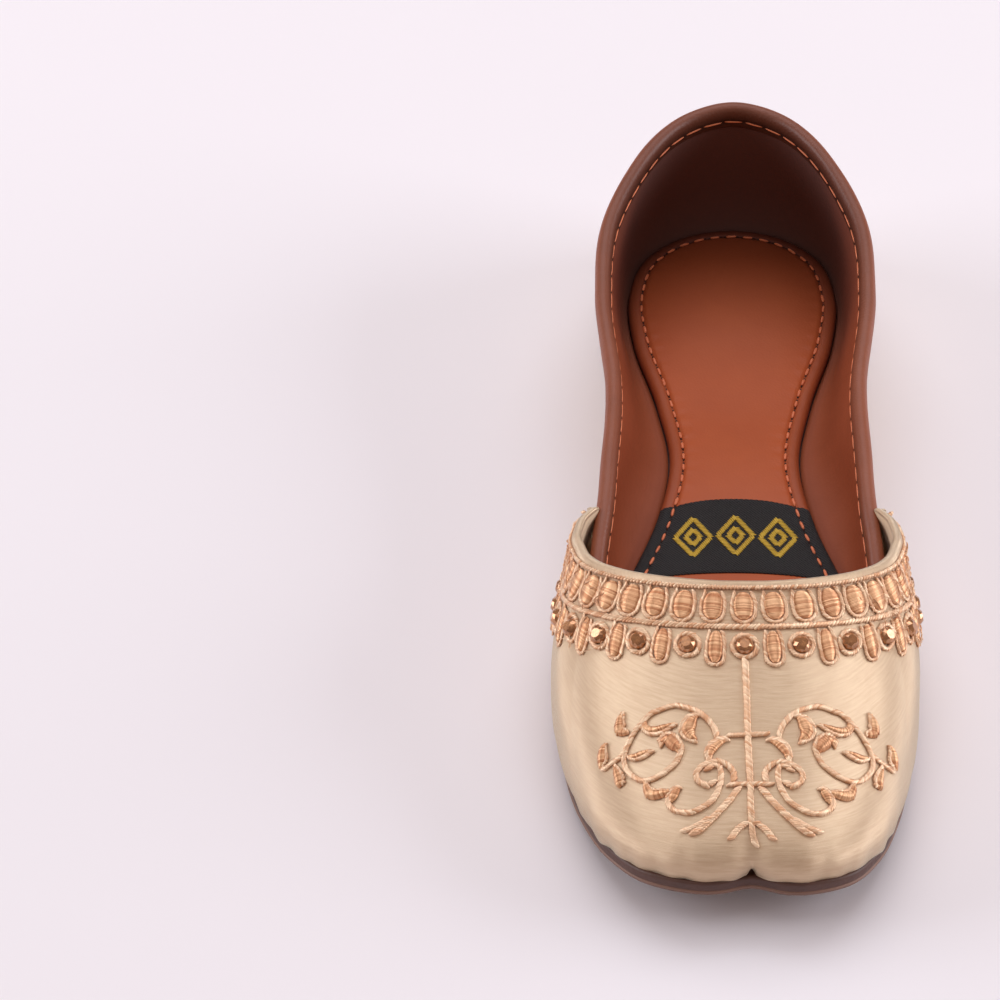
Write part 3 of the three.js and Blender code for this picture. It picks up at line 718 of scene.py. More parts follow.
def wall_shell(name, table, turns, rows, relief, materials, replaces, trim=0.0, tinted=None):
    """A closed shell over a wall, from its relief: how far the cloth stands out, and its hem."""
    ups = np.linspace(0, 1, rows)
    turn, up = np.meshgrid(turns, ups, indexing="ij")
    up = up * (1 - trim * np.clip((np.abs(turn) - TRIM_START) / TRIM_LENGTH, 0, 1) ** 2)
    point, around, normal = wall_frame(table, turn, up)
    steps = np.linalg.norm(np.diff(point, axis=1), axis=-1) / MM
    height = np.concatenate([np.zeros((len(turns), 1)), np.cumsum(steps, axis=1)], axis=1)
    depth = height[:, -1:] - height
    stride = np.linalg.norm(np.diff(point[:, 0], axis=0), axis=-1) / MM
    run = np.concatenate([[0], np.cumsum(stride)])
    run = (run - np.interp(0, turns, run))[:, None] + 0 * height
    out, hem = relief(turn, run, height, depth)
    full = np.clip((1 - np.abs(turn)) / THIN_ENDS, THINNEST, 1) ** 0.5
    outer = point + normal * ((out + hem) * MM)[..., None]
    outer[..., 2] -= hang(run, height) * MM
    inner = point + normal * ((out - WALL - hem * 0.6) * full * MM)[..., None]
    inner[:, 0, 2] = point[:, 0, 2]
    climb = unit(outer[:, -1] - outer[:, -2])
    middle, half = (outer[:, -1] + inner[:, -1]) / 2, (outer[:, -1] - inner[:, -1]) / 2
    radius = np.linalg.norm(half, axis=-1, keepdims=True)
    turned = [middle + half * math.cos(a) + climb * radius * math.sin(a)
              for a in np.linspace(0, math.pi, EDGE_STEPS + 2)[1:-1]]
    loop = np.concatenate([outer, np.stack(turned, 1), inner[:, ::-1]], axis=1)
    columns, count = loop.shape[:2]
    faces = capped_faces(columns, count)
    inside = np.tile(np.arange(count) >= rows + EDGE_STEPS, columns - 1)
    marks = np.concatenate([inside, np.zeros(len(faces) - len(inside), bool)])
    up_cm = np.concatenate([height, np.repeat(height[:, -1:], EDGE_STEPS, 1), height[:, ::-1]], 1) / 10
    cloth = np.stack([np.repeat(run[:, :1], count, 1) / 10, up_cm], -1)
    shade = np.zeros((columns, count))
    if tinted:
        shade[:, :rows] = tinted(turn, depth)
    return make_piece(name, loop, faces, materials, cloth=cloth, shade=shade, face_material=marks.astype(int),
                      replaces=replaces)


# %% Vamp
VAMP_PUCKERS = [  # place along the foot line from the toe's middle, half width, depth, reach
    (-7.5, 2.2, 0.35, 5), (-15, 2.0, 0.45, 6), (-22, 2.4, 0.5, 7), (-29, 1.8, 0.35, 5), (-37, 2.5, 0.4, 6),
    (-46, 2.2, 0.3, 5), (-58, 3.0, 0.3, 6), (-73, 3.0, 0.25, 5), (-92, 4.0, 0.3, 7), (-112, 4.0, 0.25, 6),
    (8.5, 2.0, 0.3, 5), (16, 2.4, 0.5, 7), (22.5, 1.8, 0.4, 5), (30, 2.6, 0.45, 6), (39, 2.2, 0.35, 6),
    (48, 2.0, 0.3, 5), (60, 3.2, 0.3, 7), (77, 3.0, 0.25, 5), (96, 4.0, 0.3, 6), (114, 4.0, 0.25, 6)]
FOLD_DEPTH, FOLD_WIDTH, FOLD_REACH = 1.7, 0.75, 5.5
SKIRT_OUT, SKIRT_HEIGHT, SKIRT_WIDTH = 1.0, 2.5, 6.0
HORN_CURL, HORN_START, HORN_REACH = 2.5, 0.89, 7.0
HEM_ROLL, HEM_DEPTH, HEM_WIDTH = 0.32, 1.1, 1.2


def vamp_relief(turn, run, height, depth):
    """The toe's fold and lobes, slack cloth, a fuller skirt above the sole and the curled horns."""
    fold = -FOLD_DEPTH * hill(run, FOLD_WIDTH) * np.clip(1 - height / FOLD_REACH, 0, 1) ** 1.4
    fold -= 0.45 * hill(run, 2.6) * hill(height, 8)
    lobes = 0.3 * hill(np.abs(run), 3.5, 5) * hill(height, 4, 2)
    skirt = SKIRT_OUT * hill(height, SKIRT_WIDTH, SKIRT_HEIGHT) * np.clip((1 - np.abs(turn)) / 0.3, 0, 1)
    curl = -HORN_CURL * np.clip((np.abs(turn) - HORN_START) / 0.1, 0, 1) ** 1.5 * hill(depth, HORN_REACH)
    slack = 0.18 * np.sin(run / 17 + 0.6) * np.sin(height / 9 + 0.4) * np.clip(depth / 30, 0, 1)
    out = fold + lobes + slack + skirt + curl + pucker_field(run, height, VAMP_PUCKERS)
    hem = HEM_ROLL * hill(depth, HEM_WIDTH, HEM_DEPTH)
    return out, hem


def band_cover_and_side_shade(turn, depth):
    """Darkens the satin between the ropes, where fine threads cover it, with painted shade growing towards
    the sides.
    """
    band = np.clip((depth - 0.6) / 0.8, 0, 1) * np.clip((12.4 - depth) / 1.5, 0, 1)
    return band * (0.25 + 0.55 * np.clip(np.abs(turn) / 0.6, 0, 1) ** 1.5)


VAMP_COLUMNS, VAMP_ROWS, TOE_CROWDING = 381, 84, 1.25      # the columns crowd towards the toe's fold
share = np.linspace(-1, 1, VAMP_COLUMNS)
vamp_turns = np.sign(share) * np.abs(share) ** TOE_CROWDING
vamp = wall_shell("vamp_satin", VAMP, vamp_turns, VAMP_ROWS, vamp_relief, [satin, cream_lining],
                  ["upper"], trim=0.05, tinted=band_cover_and_side_shade)

# %% Quarters
QUARTER_COLUMNS, QUARTER_ROWS = 341, 50
QUARTER_PUCKERS = [(-150, 6, 0.35, 9), (-118, 7, 0.4, 11), (-84, 6, 0.3, 8), (-52, 5, 0.3, 7),
                   (-24, 4, 0.35, 6), (-9, 3, 0.25, 5), (11, 3, 0.25, 5), (27, 4, 0.35, 6), (56, 5, 0.3, 8),
                   (88, 7, 0.35, 10), (121, 7, 0.4, 11), (152, 6, 0.35, 9)]


def quarter_relief(turn, run, height, depth):
    """Slack cloth and puckers, with no hem, because the binding covers the edge."""
    slack = 0.25 * np.sin(run / 15 + 0.9) * np.clip(height / 12, 0, 1) * np.clip(depth / 12, 0, 1)
    return slack + pucker_field(run, height, QUARTER_PUCKERS), 0 * height


wall_shell("quarters_satin", QUARTERS, np.linspace(-1, 1, QUARTER_COLUMNS), QUARTER_ROWS, quarter_relief,
           [satin, lining_leather], ["upper"])

# %% [markdown]
# ## Leather lining of the quarters
# The lining starts against the edge of the insole, curves up like a cup and follows the wall to the
# binding. It could be the inner face of the quarters in another colour, but it leaves the wall near
# the floor of the shoe, so it is a sheet of its own.

# %% The lining's part on the wall, and where it starts
LINING_CLEAR, LINING_THICK = 0.12, 0.4     # gap to the wall, thickness of the leather
LINING_JOIN, LINING_TOP = 0.34, 4.3        # share of the rib where it meets the wall, depth where it ends
LINING_OUT, LINING_UP = 0.2, 0.5           # its start: outside the insole's edge, above its underside
WALL_ROWS, LINING_COLUMNS = 22, 261
WING_END = 0.985                           # the turn where lining, binding and ropes end

lining_turns = np.linspace(-WING_END, WING_END, LINING_COLUMNS)
top_up = quarter_ruler.up(lining_turns, np.full(LINING_COLUMNS, LINING_TOP))
climbs = LINING_JOIN + (top_up[:, None] - LINING_JOIN) * np.linspace(0, 1, WALL_ROWS)
point, _, normal = wall_frame(QUARTERS, lining_turns[:, None], climbs)
on_wall = point - normal * (WALL + LINING_CLEAR + LINING_THICK) * MM

sock_turn = np.linspace(0, 1, 400)
sock_normal = SOCK.outward("X", "S", sock_turn)
sock_x = SOCK.read("X", sock_turn) + sock_normal[0] * LINING_OUT
sock_s = SOCK.read("S", sock_turn) + sock_normal[1] * LINING_OUT
sock_edges = {side: place(side * sock_x, sock_s, sole_under(sock_s) + SOLE_THICKNESS + GAP + LINING_UP)
              for side in (-1, 1)}
starts = []
for turn, target in zip(lining_turns, on_wall[:, 0]):
    edge = sock_edges[-1 if turn > 0 else 1]
    starts.append(edge[np.argmin(np.linalg.norm((edge - target)[:, :2], axis=1))])
starts = np.array(starts)
smooth = np.array([starts[max(i - 4, 0):i + 5].mean(0) for i in range(len(starts))])
print("the lining starts at", len(smooth), "places round the insole")

# %% Lining
CUP_ROWS, CUP_PULL, WALL_PULL = 12, 0.6, 0.5           # rows, how far it hugs the floor and the wall
LINING_SHADE_START, LINING_SHADE_LENGTH = 174, 52      # stations over which the heel's shade fills

gap = (on_wall[:, 0] - smooth) * [1, 1, 0]
reach = np.linalg.norm(on_wall[:, 0] - smooth, axis=1)[:, None]
arrive = unit(on_wall[:, 0] - on_wall[:, 1]) * reach * WALL_PULL
t = np.linspace(0, 1, CUP_ROWS + 1)[:-1][None, :, None]
cup = ((1 - t)**3 * smooth[:, None] + 3 * t * (1 - t)**2 * (smooth + gap * CUP_PULL)[:, None]
       + 3 * t**2 * (1 - t) * (on_wall[:, 0] + arrive)[:, None] + t**3 * on_wall[:, 0][:, None])
front = np.concatenate([cup, on_wall], axis=1)
facing = unit(np.cross(np.gradient(front, axis=0), np.gradient(front, axis=1)))
back = front + facing * np.sign(np.sum(facing[:, -1] * normal[:, -1], -1))[:, None, None] * LINING_THICK * MM
loop = np.concatenate([front, back[:, ::-1]], axis=1)
stations = loop[..., 1] / MM - TOE_FRONT
# Painted shade: the lining darkens towards the heel.
heel_shade = 0.85 * np.clip((stations - LINING_SHADE_START) / LINING_SHADE_LENGTH, 0, 1) ** 1.2
make_piece("quarter_lining", loop, capped_faces(*loop.shape[:2]), [lining_leather], shade=heel_shade)

# %% [markdown]
# ## Collar binding
# A strip of leather is folded over the collar and stitched through. A curve with a bevel profile
# could make it, but the strip has to lean with the wall all the way round. So its section is a small
# loop of points: a round roll on top, a pinched groove where the stitches pull, and two thin
# flanges. The loop is carried along the collar, and swells a little between the stitches.

# %% Binding
BINDING_STITCH_DEPTH, BINDING_PITCH = 2.6, 5.4
BINDING_SECTION = [  # depth below the edge, distance outwards from the wall's middle, painted shade
    (7.5, 1.0, 0.9), (7.6, 1.35, 0.7), (7.1, 1.55, 0.5), (6.2, 1.42, 0.6), (5.2, 1.6, 0.4), (3.6, 1.75, 0.3),
    (2.2, 1.9, 0.15), (1.0, 1.98, 0.05), (0.0, 1.92, 0.0), (-0.75, 1.7, 0.0), (-1.3, 1.3, 0.0),
    (-1.7, 0.7, 0.0), (-1.8, 0.0, 0.0), (-1.7, -0.6, 0.05), (-1.4, -1.1, 0.12), (-0.9, -1.48, 0.2),
    (-0.2, -1.75, 0.3), (0.5, -1.92, 0.4), (1.2, -2.02, 0.5), (1.9, -2.04, 0.7), (2.4, -1.92, 1.0),
    (2.8, -1.92, 1.0), (3.3, -2.05, 0.6), (4.3, -2.08, 0.4), (4.8, -1.95, 0.5), (5.0, -1.72, 0.8),
    (4.9, -1.5, 1.0), (2.5, -1.5, 1.0), (0.0, -1.3, 1.0), (-0.6, 0.0, 1.0), (0.0, 0.95, 1.0),
    (4.0, 0.95, 1.0)]
BINDING_COLUMNS = 421
BINDING_SHADE_START, BINDING_SHADE_LENGTH = 150, 60    # stations over which the heel's painted shade fills


def binding_point(turn, depth, out):
    """A point of the binding, for arrays of turns and one section point each."""
    up = quarter_ruler.up(turn, np.maximum(depth, 0))
    point, around, normal = wall_frame(QUARTERS, turn, up)
    rise = unit(point - wall_point(QUARTERS, turn, up - 0.02))
    return (point + normal * ((out - WALL / 2) * MM)[..., None]
            + rise * (np.maximum(-depth, 0) * MM)[..., None]), around, normal


binding_turns = np.linspace(-WING_END, WING_END, BINDING_COLUMNS)
middle_line = wall_point(QUARTERS, binding_turns, 1.0)
binding_run = run_along(middle_line)
rings = []
for depth, out, shade in BINDING_SECTION:
    near_stitch = hill(depth, 1.2, BINDING_STITCH_DEPTH) if out < 0 else 0.0
    pull = 0.1 * near_stitch * np.cos(2 * np.pi * binding_run / BINDING_PITCH)
    wobble = 0.03 * np.sin(binding_run / 6.1) + 0.02 * np.sin(binding_run / 2.9 + 1)
    swell = np.sign(out) * (pull + wobble) if abs(out) > 1.4 else 0 * binding_run
    rings.append(binding_point(binding_turns, np.full(BINDING_COLUMNS, depth), out + swell)[0])
loop = np.stack(rings, 1)
shades = np.tile([shade for depth, out, shade in BINDING_SECTION], (BINDING_COLUMNS, 1))
# Painted shade grows towards the heel, most on the inner side of the roll.
rear = np.clip((middle_line[:, 1] / MM - TOE_FRONT - BINDING_SHADE_START) / BINDING_SHADE_LENGTH, 0, 1)
inner_side = [0.35 if out < 0.8 else 0.1 for depth, out, shade in BINDING_SECTION]
shades = np.clip(shades + rear[:, None] * inner_side, 0, 1)
make_piece("collar_roll", loop, capped_faces(*loop.shape[:2]), [binding_leather], shade=shades,
           replaces=["collar_binding"])

# %% [markdown]
# ## Things set on points
# Stitches, needle holes, crystals and the threads of a petal are one small shape, set many times.
# Copies made by hand would be thousands of objects, so a Geometry Nodes tree does it: every point of
# a loose mesh carries the direction of its stitch, the way it faces and its size, and the tree sets
# the shape there, turned and sized a little at random from a fixed seed. It also gives each copy a
# random `tone`, which the thread's material reads.

# %% The setting tree
GEOMETRY, OBJECT, WHOLE, MATERIAL = ("NodeSocketGeometry", "NodeSocketObject", "NodeSocketInt",
                                     "NodeSocketMaterial")


def end_tree(tree, geometry, given, out):
    """Makes the instances real, because other programs don't read them, and sets the material."""
    real = node(tree, "GeometryNodeRealizeInstances", {"Geometry": geometry})
    painted = node(tree, "GeometryNodeSetMaterial", {"Geometry": real.outputs[0],
                   "Material": given.outputs["Finish"]})
    tree.links.new(painted.outputs[0], out.inputs["Result"])


def setting_tree():
    tree, given, out = new_group(
        "set_on_points", [("Points", GEOMETRY, None), ("Shape", OBJECT, None), ("Turn", FLOAT, None),
                          ("Spread", FLOAT, None), ("Seed", WHOLE, None), ("Finish", MATERIAL, None)],
        [("Result", GEOMETRY)], kind="GeometryNodeTree")
    read = {name: node(tree, "GeometryNodeInputNamedAttribute", {"Name": name},
                       data_type="FLOAT_VECTOR").outputs["Attribute"] for name in ("along", "face", "size")}
    aim = node(tree, "FunctionNodeAxesToRotation", {0: read["along"], 1: read["face"]},
               primary_axis="X", secondary_axis="Z")
    less = node(tree, "ShaderNodeMath", {0: given.outputs["Turn"], 1: -1.0}, operation="MULTIPLY")
    angle = node(tree, "FunctionNodeRandomValue", {2: less.outputs[0], 3: given.outputs["Turn"],
                 "Seed": given.outputs["Seed"]}, data_type="FLOAT")
    twist = node(tree, "FunctionNodeAxisAngleToRotation", {"Angle": angle.outputs[1]})
    turned = node(tree, "FunctionNodeRotateRotation", {0: aim.outputs[0], 1: twist.outputs[0]},
                  rotation_space="LOCAL")
    low = node(tree, "ShaderNodeMath", {0: 1.0, 1: given.outputs["Spread"]}, operation="SUBTRACT")
    high = node(tree, "ShaderNodeMath", {0: 1.0, 1: given.outputs["Spread"]}, operation="ADD")
    later = node(tree, "ShaderNodeMath", {0: given.outputs["Seed"], 1: 1.0}, operation="ADD")
    factor = node(tree, "FunctionNodeRandomValue", {2: low.outputs[0], 3: high.outputs[0],
                  "Seed": later.outputs[0]}, data_type="FLOAT")
    size = node(tree, "ShaderNodeVectorMath", {0: read["size"], "Scale": factor.outputs[1]},
                operation="SCALE")
    shape = node(tree, "GeometryNodeObjectInfo", {"Object": given.outputs["Shape"], "As Instance": True})
    spread = node(tree, "GeometryNodeInstanceOnPoints", {"Points": given.outputs["Points"],
                  "Instance": shape.outputs["Geometry"], "Rotation": turned.outputs[0],
                  "Scale": size.outputs[0]})
    chance = node(tree, "FunctionNodeRandomValue", {2: 0.0, 3: 1.0}, data_type="FLOAT")
    toned = node(tree, "GeometryNodeStoreNamedAttribute", {"Geometry": spread.outputs[0], "Name": "tone",
                 "Value": chance.outputs[1]}, data_type="FLOAT", domain="INSTANCE")
    end_tree(tree, toned.outputs[0], given, out)
    return tree


set_on_points = setting_tree()


def run_tree(source, tree, values):
    """Runs a tree on an object and returns the result as a plain mesh, with the modifier gone."""
    modifier = source.modifiers.new("nodes", "NODES")
    modifier.node_group = tree
    for item in tree.interface.items_tree:
        if item.item_type == "SOCKET" and item.in_out == "INPUT" and item.name in values:
            modifier[item.identifier] = values[item.name]
    graph = bpy.context.evaluated_depsgraph_get()
    mesh = bpy.data.meshes.new_from_object(source.evaluated_get(graph), depsgraph=graph)
    source.modifiers.remove(modifier)
    return mesh


# %% Small shapes to set
def small_shape(name, rings, sides, arch=0.0):
    """A closed shape turned round the X axis, from pairs of place along it and radius. It may arch up."""
    points, faces = [], []
    for x, radius in rings[1:-1]:
        points += [(x, radius * math.cos(a), radius * math.sin(a) + arch * (1 - 4 * x * x)) for a in
                   [2 * math.pi * k / sides for k in range(sides)]]
    count = len(rings) - 2
    for r in range(count - 1):
        for k in range(sides):
            a, b = r * sides + k, r * sides + (k + 1) % sides
            faces.append((a, b, b + sides, a + sides))
    first, last = len(points), len(points) + 1
    points += [(rings[0][0], 0, 0), (rings[-1][0], 0, 0)]
    for k in range(sides):
        a, b = k, (k + 1) % sides
        faces.append((first, b, a))
        faces.append((last, a + (count - 1) * sides, b + (count - 1) * sides))
    mesh = bpy.data.meshes.new(name)
    mesh.from_pydata(points, [], [f[::-1] for f in faces])
    mesh.shade_smooth()
    return bpy.data.objects.new(name, mesh)


# each is one unit long and one unit thick: the size of a stitch scales it
stitch_shape = small_shape("stitch", [(-0.5, 0), (-0.46, 0.24), (-0.28, 0.46), (0.28, 0.46), (0.46, 0.24),
                                      (0.5, 0)], 6)
satin_stitch_shape = small_shape("satin_stitch", [(-0.5, 0), (-0.47, 0.26), (-0.32, 0.46), (0.0, 0.5),
                                                  (0.32, 0.46), (0.47, 0.26), (0.5, 0)], 6, arch=0.8)


def crystal_shape(sides=10):
    """A cut stone, one unit across: flat table, two rows of facets, girdle. It faces +Z."""
    rows = [(0.27, 0.34, 0.0), (0.42, 0.21, 0.5), (0.5, 0.06, 0.0), (0.5, -0.08, 0.0)]
    points = [(r * math.cos(2 * math.pi * (k + o) / sides), r * math.sin(2 * math.pi * (k + o) / sides), z)
              for r, z, o in rows for k in range(sides)]
    faces = [tuple(range(sides))]
    for k in range(sides):
        n = (k + 1) % sides
        faces += [(k, sides + k, n), (n, sides + k, sides + n),
                  (sides + k, 2 * sides + n, sides + n), (sides + k, 2 * sides + k, 2 * sides + n),
                  (2 * sides + k, 3 * sides + k, 3 * sides + n, 2 * sides + n)]
    faces.append(tuple(range(4 * sides - 1, 3 * sides - 1, -1)))
    mesh = bpy.data.meshes.new("crystal_cut")
    mesh.from_pydata(points, [], faces)
    return bpy.data.objects.new("crystal_cut", mesh)


crystal_cut = crystal_shape()


# %% Rows of stitches
class Stitches:
    """Collects points with a direction, a facing and a size in mm, and sets a shape on each."""

    def __init__(self):
        self.rows = []

    def add(self, points, along, face, size):
        points = np.asarray(points, float).reshape(-1, 3)
        sizes = np.broadcast_to(np.asarray(size, float) * MM, points.shape)
        self.rows.append((points, np.broadcast_to(along, points.shape), np.broadcast_to(face, points.shape),
                          sizes))

    def make(self, name, shape, material, slot, turn=0.0, spread=0.0, seed=1):
        point, along, face, size = (np.concatenate([row[k] for row in self.rows]) for k in range(4))
        mesh = bpy.data.meshes.new(name)
        mesh.from_pydata(point.tolist(), [], [])
        for key, value in (("along", along), ("face", face), ("size", size)):
            mesh.attributes.new(key, "FLOAT_VECTOR", "POINT").data.foreach_set(
                "vector", np.asarray(value, np.float32).ravel())
        source = linked(name, mesh)
        source.data = run_tree(source, set_on_points, {"Shape": shape, "Turn": turn, "Spread": spread,
                                                       "Seed": seed, "Finish": material})
        declare(source)
        print(f"{name}: {len(point)} set, {len(source.data.polygons)} faces")


def evenly(line, pitch, offset=0.5):
    """Points, unit tangents and the running length at an even pitch along a line of points."""
    line = np.asarray(line, float)
    run = run_along(line)
    count = max(int(round(run[-1] / pitch)), 1)
    at = (np.arange(count) + offset) * run[-1] / count
    found = np.stack([np.interp(at, run, line[:, k]) for k in range(3)], 1)
    ahead = np.stack([np.interp(at + 0.2, run, line[:, k]) for k in range(3)], 1)
    behind = np.stack([np.interp(at - 0.2, run, line[:, k]) for k in range(3)], 1)
    return found, unit(ahead - behind), at


def slanted(along, face, angle):
    """Directions turned about the facing by an angle in degrees."""
    a = np.radians(angle)
    return along * np.cos(a) + np.cross(face, along) * np.sin(a)


def surface_of(piece):
    mesh = piece.data
    return BVHTree.FromPolygons([v.co for v in mesh.vertices], [tuple(p.vertices) for p in mesh.polygons])


def laid_on(tree, points, lift, facing):
    """Points moved to the nearest place of a surface and lifted off it, with the normals there."""
    found, normals = [], []
    for point, guess in zip(np.asarray(points).reshape(-1, 3), np.asarray(facing).reshape(-1, 3)):
        spot, normal = tree.find_nearest(Vector(point))[:2]
        if normal.dot(Vector(guess)) < 0.2:
            spot, normal = Vector(point), Vector(guess)
        found.append(spot + normal * lift * MM)
        normals.append(normal)
    return np.array(found), np.array(normals)


# %% [markdown]
# ## Stitches of the binding
# The binding has a fine and long running stitch inside, below the roll, and another outside near the
# flange's edge. An Array along a curve could lay them, but each stitch has to face out from the
# leather, so its place and facing are read from the wall.

# %% Binding stitches
BINDING_DASH, BINDING_THREAD = 4.75, 0.56
BINDING_SEAMS = ((BINDING_STITCH_DEPTH, -2.0, -1), (6.2, 1.5, 1))   # depth, distance outwards, facing
collar_stitches, collar_holes = Stitches(), Stitches()
for depth, out, sign in BINDING_SEAMS:
    line, _, normal = binding_point(binding_turns, np.full(BINDING_COLUMNS, depth), out + 0 * binding_run)
    points, along, run = evenly(line, BINDING_PITCH)
    share = np.interp(run, np.linspace(0, run[-1], len(normal)), np.arange(len(normal))).astype(int)
    face = normal[share] * sign
    collar_stitches.add(points + face * 0.05 * MM, along, face, (BINDING_DASH, BINDING_THREAD, 0.45))
    for shift in (-0.5, 0.5):
        ends = points + along * shift * (BINDING_DASH + 0.35) * MM - face * 0.1 * MM
        collar_holes.add(ends, along, face, (0.6, 0.4, 0.2))
collar_stitches.make("binding_stitches", stitch_shape, orange_thread, "binding_leather", turn=0.03,
                     spread=0.05)
collar_holes.make("binding_needle_holes", stitch_shape, needle_hole, "binding_leather")

# %% [markdown]
# ## Woven label
# A strip of black twill lies across the insole and is held by the same seam. Its front and back
# edges bow towards the heel. It carries no name, only a row of small woven lozenges. A cloth
# simulation could settle it, but it lies nearly flat, so its points are dropped straight down onto
# the leather.

# %% Dropping points onto the insole
insole_surface = surface_of(insole)
up_axis = np.array([0.0, 0.0, 1.0])
DROP_FROM = 0.1         # metres above the floor


def drop(points, lift, surfaces=(insole_surface,)):
    """Points dropped straight down onto the highest of some surfaces."""
    found = []
    for point in points:
        above = Vector((point[0], point[1], DROP_FROM))
        hits = [tree.ray_cast(above, Vector((0, 0, -1)))[0] for tree in surfaces]
        spot = max((hit for hit in hits if hit), key=lambda hit: hit.z)
        found.append(spot + Vector((0, 0, lift * MM)))
    return np.array(found)


# %% Label
LABEL_FRONT, LABEL_BACK, LABEL_BOW = 104.8, 129.8, 3.1      # stations of its edges, and their bow
LABEL_LIFT, LABEL_THICK, FRAY = 0.3, 0.28, 0.12
across, along_label = np.meshgrid(np.linspace(-1, 1, 81), np.linspace(0, 1, 25), indexing="ij")
bow = LABEL_BOW * (1 - across**2)
label_s = LABEL_FRONT + (LABEL_BACK - LABEL_FRONT) * along_label + bow
sock_at = np.linspace(0, 1, 800)
half_width = np.interp(label_s, SOCK.read("S", sock_at), SOCK.read("X", sock_at)) - 0.25
label_x = across * half_width
flat = place(label_x, label_s, 0.0)
front = drop(flat.reshape(-1, 3), LABEL_LIFT).reshape(flat.shape)
frayed = FRAY * np.sin(label_x * 5.1) * (np.abs(along_label - 0.5) > 0.49)      # only the cut edges
front[..., 1] += frayed * MM
back = front - up_axis * LABEL_THICK * MM
loop = np.concatenate([front, back[:, ::-1]], axis=1)
diagonal = np.stack([(label_x + label_s) / 10, (label_x - label_s) / 10], -1)      # a twill's ribs slant
label = make_piece("woven_label", loop, capped_faces(*loop.shape[:2]), [label_cloth],
                   cloth=np.concatenate([diagonal, diagonal[:, ::-1]], 1))

# %% Lozenges woven in the label
lozenges = Stitches()
LOZENGE_WIDE, LOZENGE_LONG, LOZENGE_STEP = 4.3, 6.4, 10.2
for k in (-1, 0, 1):
    centre_s = (LABEL_FRONT + LABEL_BACK) / 2 + LABEL_BOW * (1 - (k * 0.45) ** 2)
    for scale in (1.0, 0.42):
        corners = [(k * LOZENGE_STEP + dx * LOZENGE_WIDE * scale, centre_s + ds * LOZENGE_LONG * scale)
                   for dx, ds in ((1, 0), (0, 1), (-1, 0), (0, -1), (1, 0))]
        line = drop([place(x, s, 0.0) for x, s in corners], 0.42)
        for a, b in zip(line[:-1], line[1:]):
            points, along, _ = evenly(np.stack([a, b]), 0.56)
            lozenges.add(points, slanted(along, up_axis, 62), up_axis, (1.7, 0.5, 0.25))
lozenges.make("label_lozenges", stitch_shape, label_gold, "sock_leather", turn=0.05, spread=0.08)

# %% [markdown]
# ## Stitches of the insole
# The insole is sewn with a thick thread: short dashes, with a needle hole at each end. A texture
# could draw them, but a thick thread is round and throws a shadow, so each one is a small shape. The
# same stitches hold the label, so they are laid on whichever is higher, the leather or the twill.

# %% Insole stitches
INSOLE_PITCH, INSOLE_DASH, INSOLE_THREAD = 4.3, 2.6, 0.8
SEAM_START = 98         # the station of both ends of the seam


def sock_line(inset, start, count=500):
    """A line that runs inside the sock's edge, from a station back round the heel to it again."""
    at = np.linspace(0, 1, count)
    normal = SOCK.outward("X", "S", at)
    x, s = SOCK.read("X", at) - normal[0] * inset, SOCK.read("S", at) - normal[1] * inset
    keep = (s > start) & (x > 0)
    right = place(x[keep], s[keep], 0.0)
    left = place(-x[keep], s[keep], 0.0)
    return np.concatenate([right, left[::-1]])


sock_stitches, sock_holes = Stitches(), Stitches()
seam = drop(sock_line(SOCK_STITCH_INSET, SEAM_START), 0.2, (insole_surface, surface_of(label)))
points, along, _ = evenly(seam, INSOLE_PITCH)
sock_stitches.add(points, along, up_axis, (INSOLE_DASH, INSOLE_THREAD, 0.6))
for shift in (-0.5, 0.5):
    ends = points + along * shift * (INSOLE_DASH + 0.5) * MM - up_axis * 0.1 * MM
    sock_holes.add(ends, along, up_axis, (0.7, 0.5, 0.2))
sock_stitches.make("insole_stitches", stitch_shape, orange_thread, "sock_leather", turn=0.07, spread=0.08)
sock_holes.make("insole_needle_holes", stitch_shape, needle_hole, "sock_leather")

# %% [markdown]
# ## Embroidery
# Metallic thread is couched and satin-stitched on the vamp: two ropes and two rows of petals follow
# the throat, crystals sit in rings of cord between the lower petals, and a scroll motif fills the
# toe. A bump map could hint at all this, but thread that stands proud of the cloth catches the light
# and throws small shadows, so it is made as real stitches. Every line is laid on the satin first,
# then stitches are set along it over a thin core, which one tree sweeps round all the lines.

# %% Cores under the cords
def sweep_tree():
    tree, given, out = new_group(
        "sweep_cord", [("Lines", GEOMETRY, None), ("Radius", FLOAT, None), ("Finish", MATERIAL, None)],
        [("Result", GEOMETRY)], kind="GeometryNodeTree")
    lines = node(tree, "GeometryNodeMeshToCurve", {0: given.outputs["Lines"]})
    ring = node(tree, "GeometryNodeCurvePrimitiveCircle", {"Resolution": 6,
                "Radius": given.outputs["Radius"]})
    tube = node(tree, "GeometryNodeCurveToMesh", {"Curve": lines.outputs[0], "Profile Curve": ring.outputs[0],
                "Fill Caps": True})
    end_tree(tree, tube.outputs[0], given, out)
    return tree


sweep_cord = sweep_tree()


def cores(name, lines, radius, material):
    """One piece of thin round cords, swept along lines of points."""
    points, edges = [], []
    for line in lines:
        edges += [(len(points) + k, len(points) + k + 1) for k in range(len(line) - 1)]
        points += [tuple(p) for p in line]
    mesh = bpy.data.meshes.new(name)
    mesh.from_pydata(points, edges, [])
    source = linked(name, mesh)
    source.data = run_tree(source, sweep_cord, {"Radius": radius * MM, "Finish": material})
    source.data.shade_smooth()
    declare(source)
    print(f"{name}: {len(lines)} cords, {len(source.data.polygons)} faces")


vamp_surface = surface_of(vamp)
outlines, fills, core_lines, rope_cores = Stitches(), Stitches(), [], []


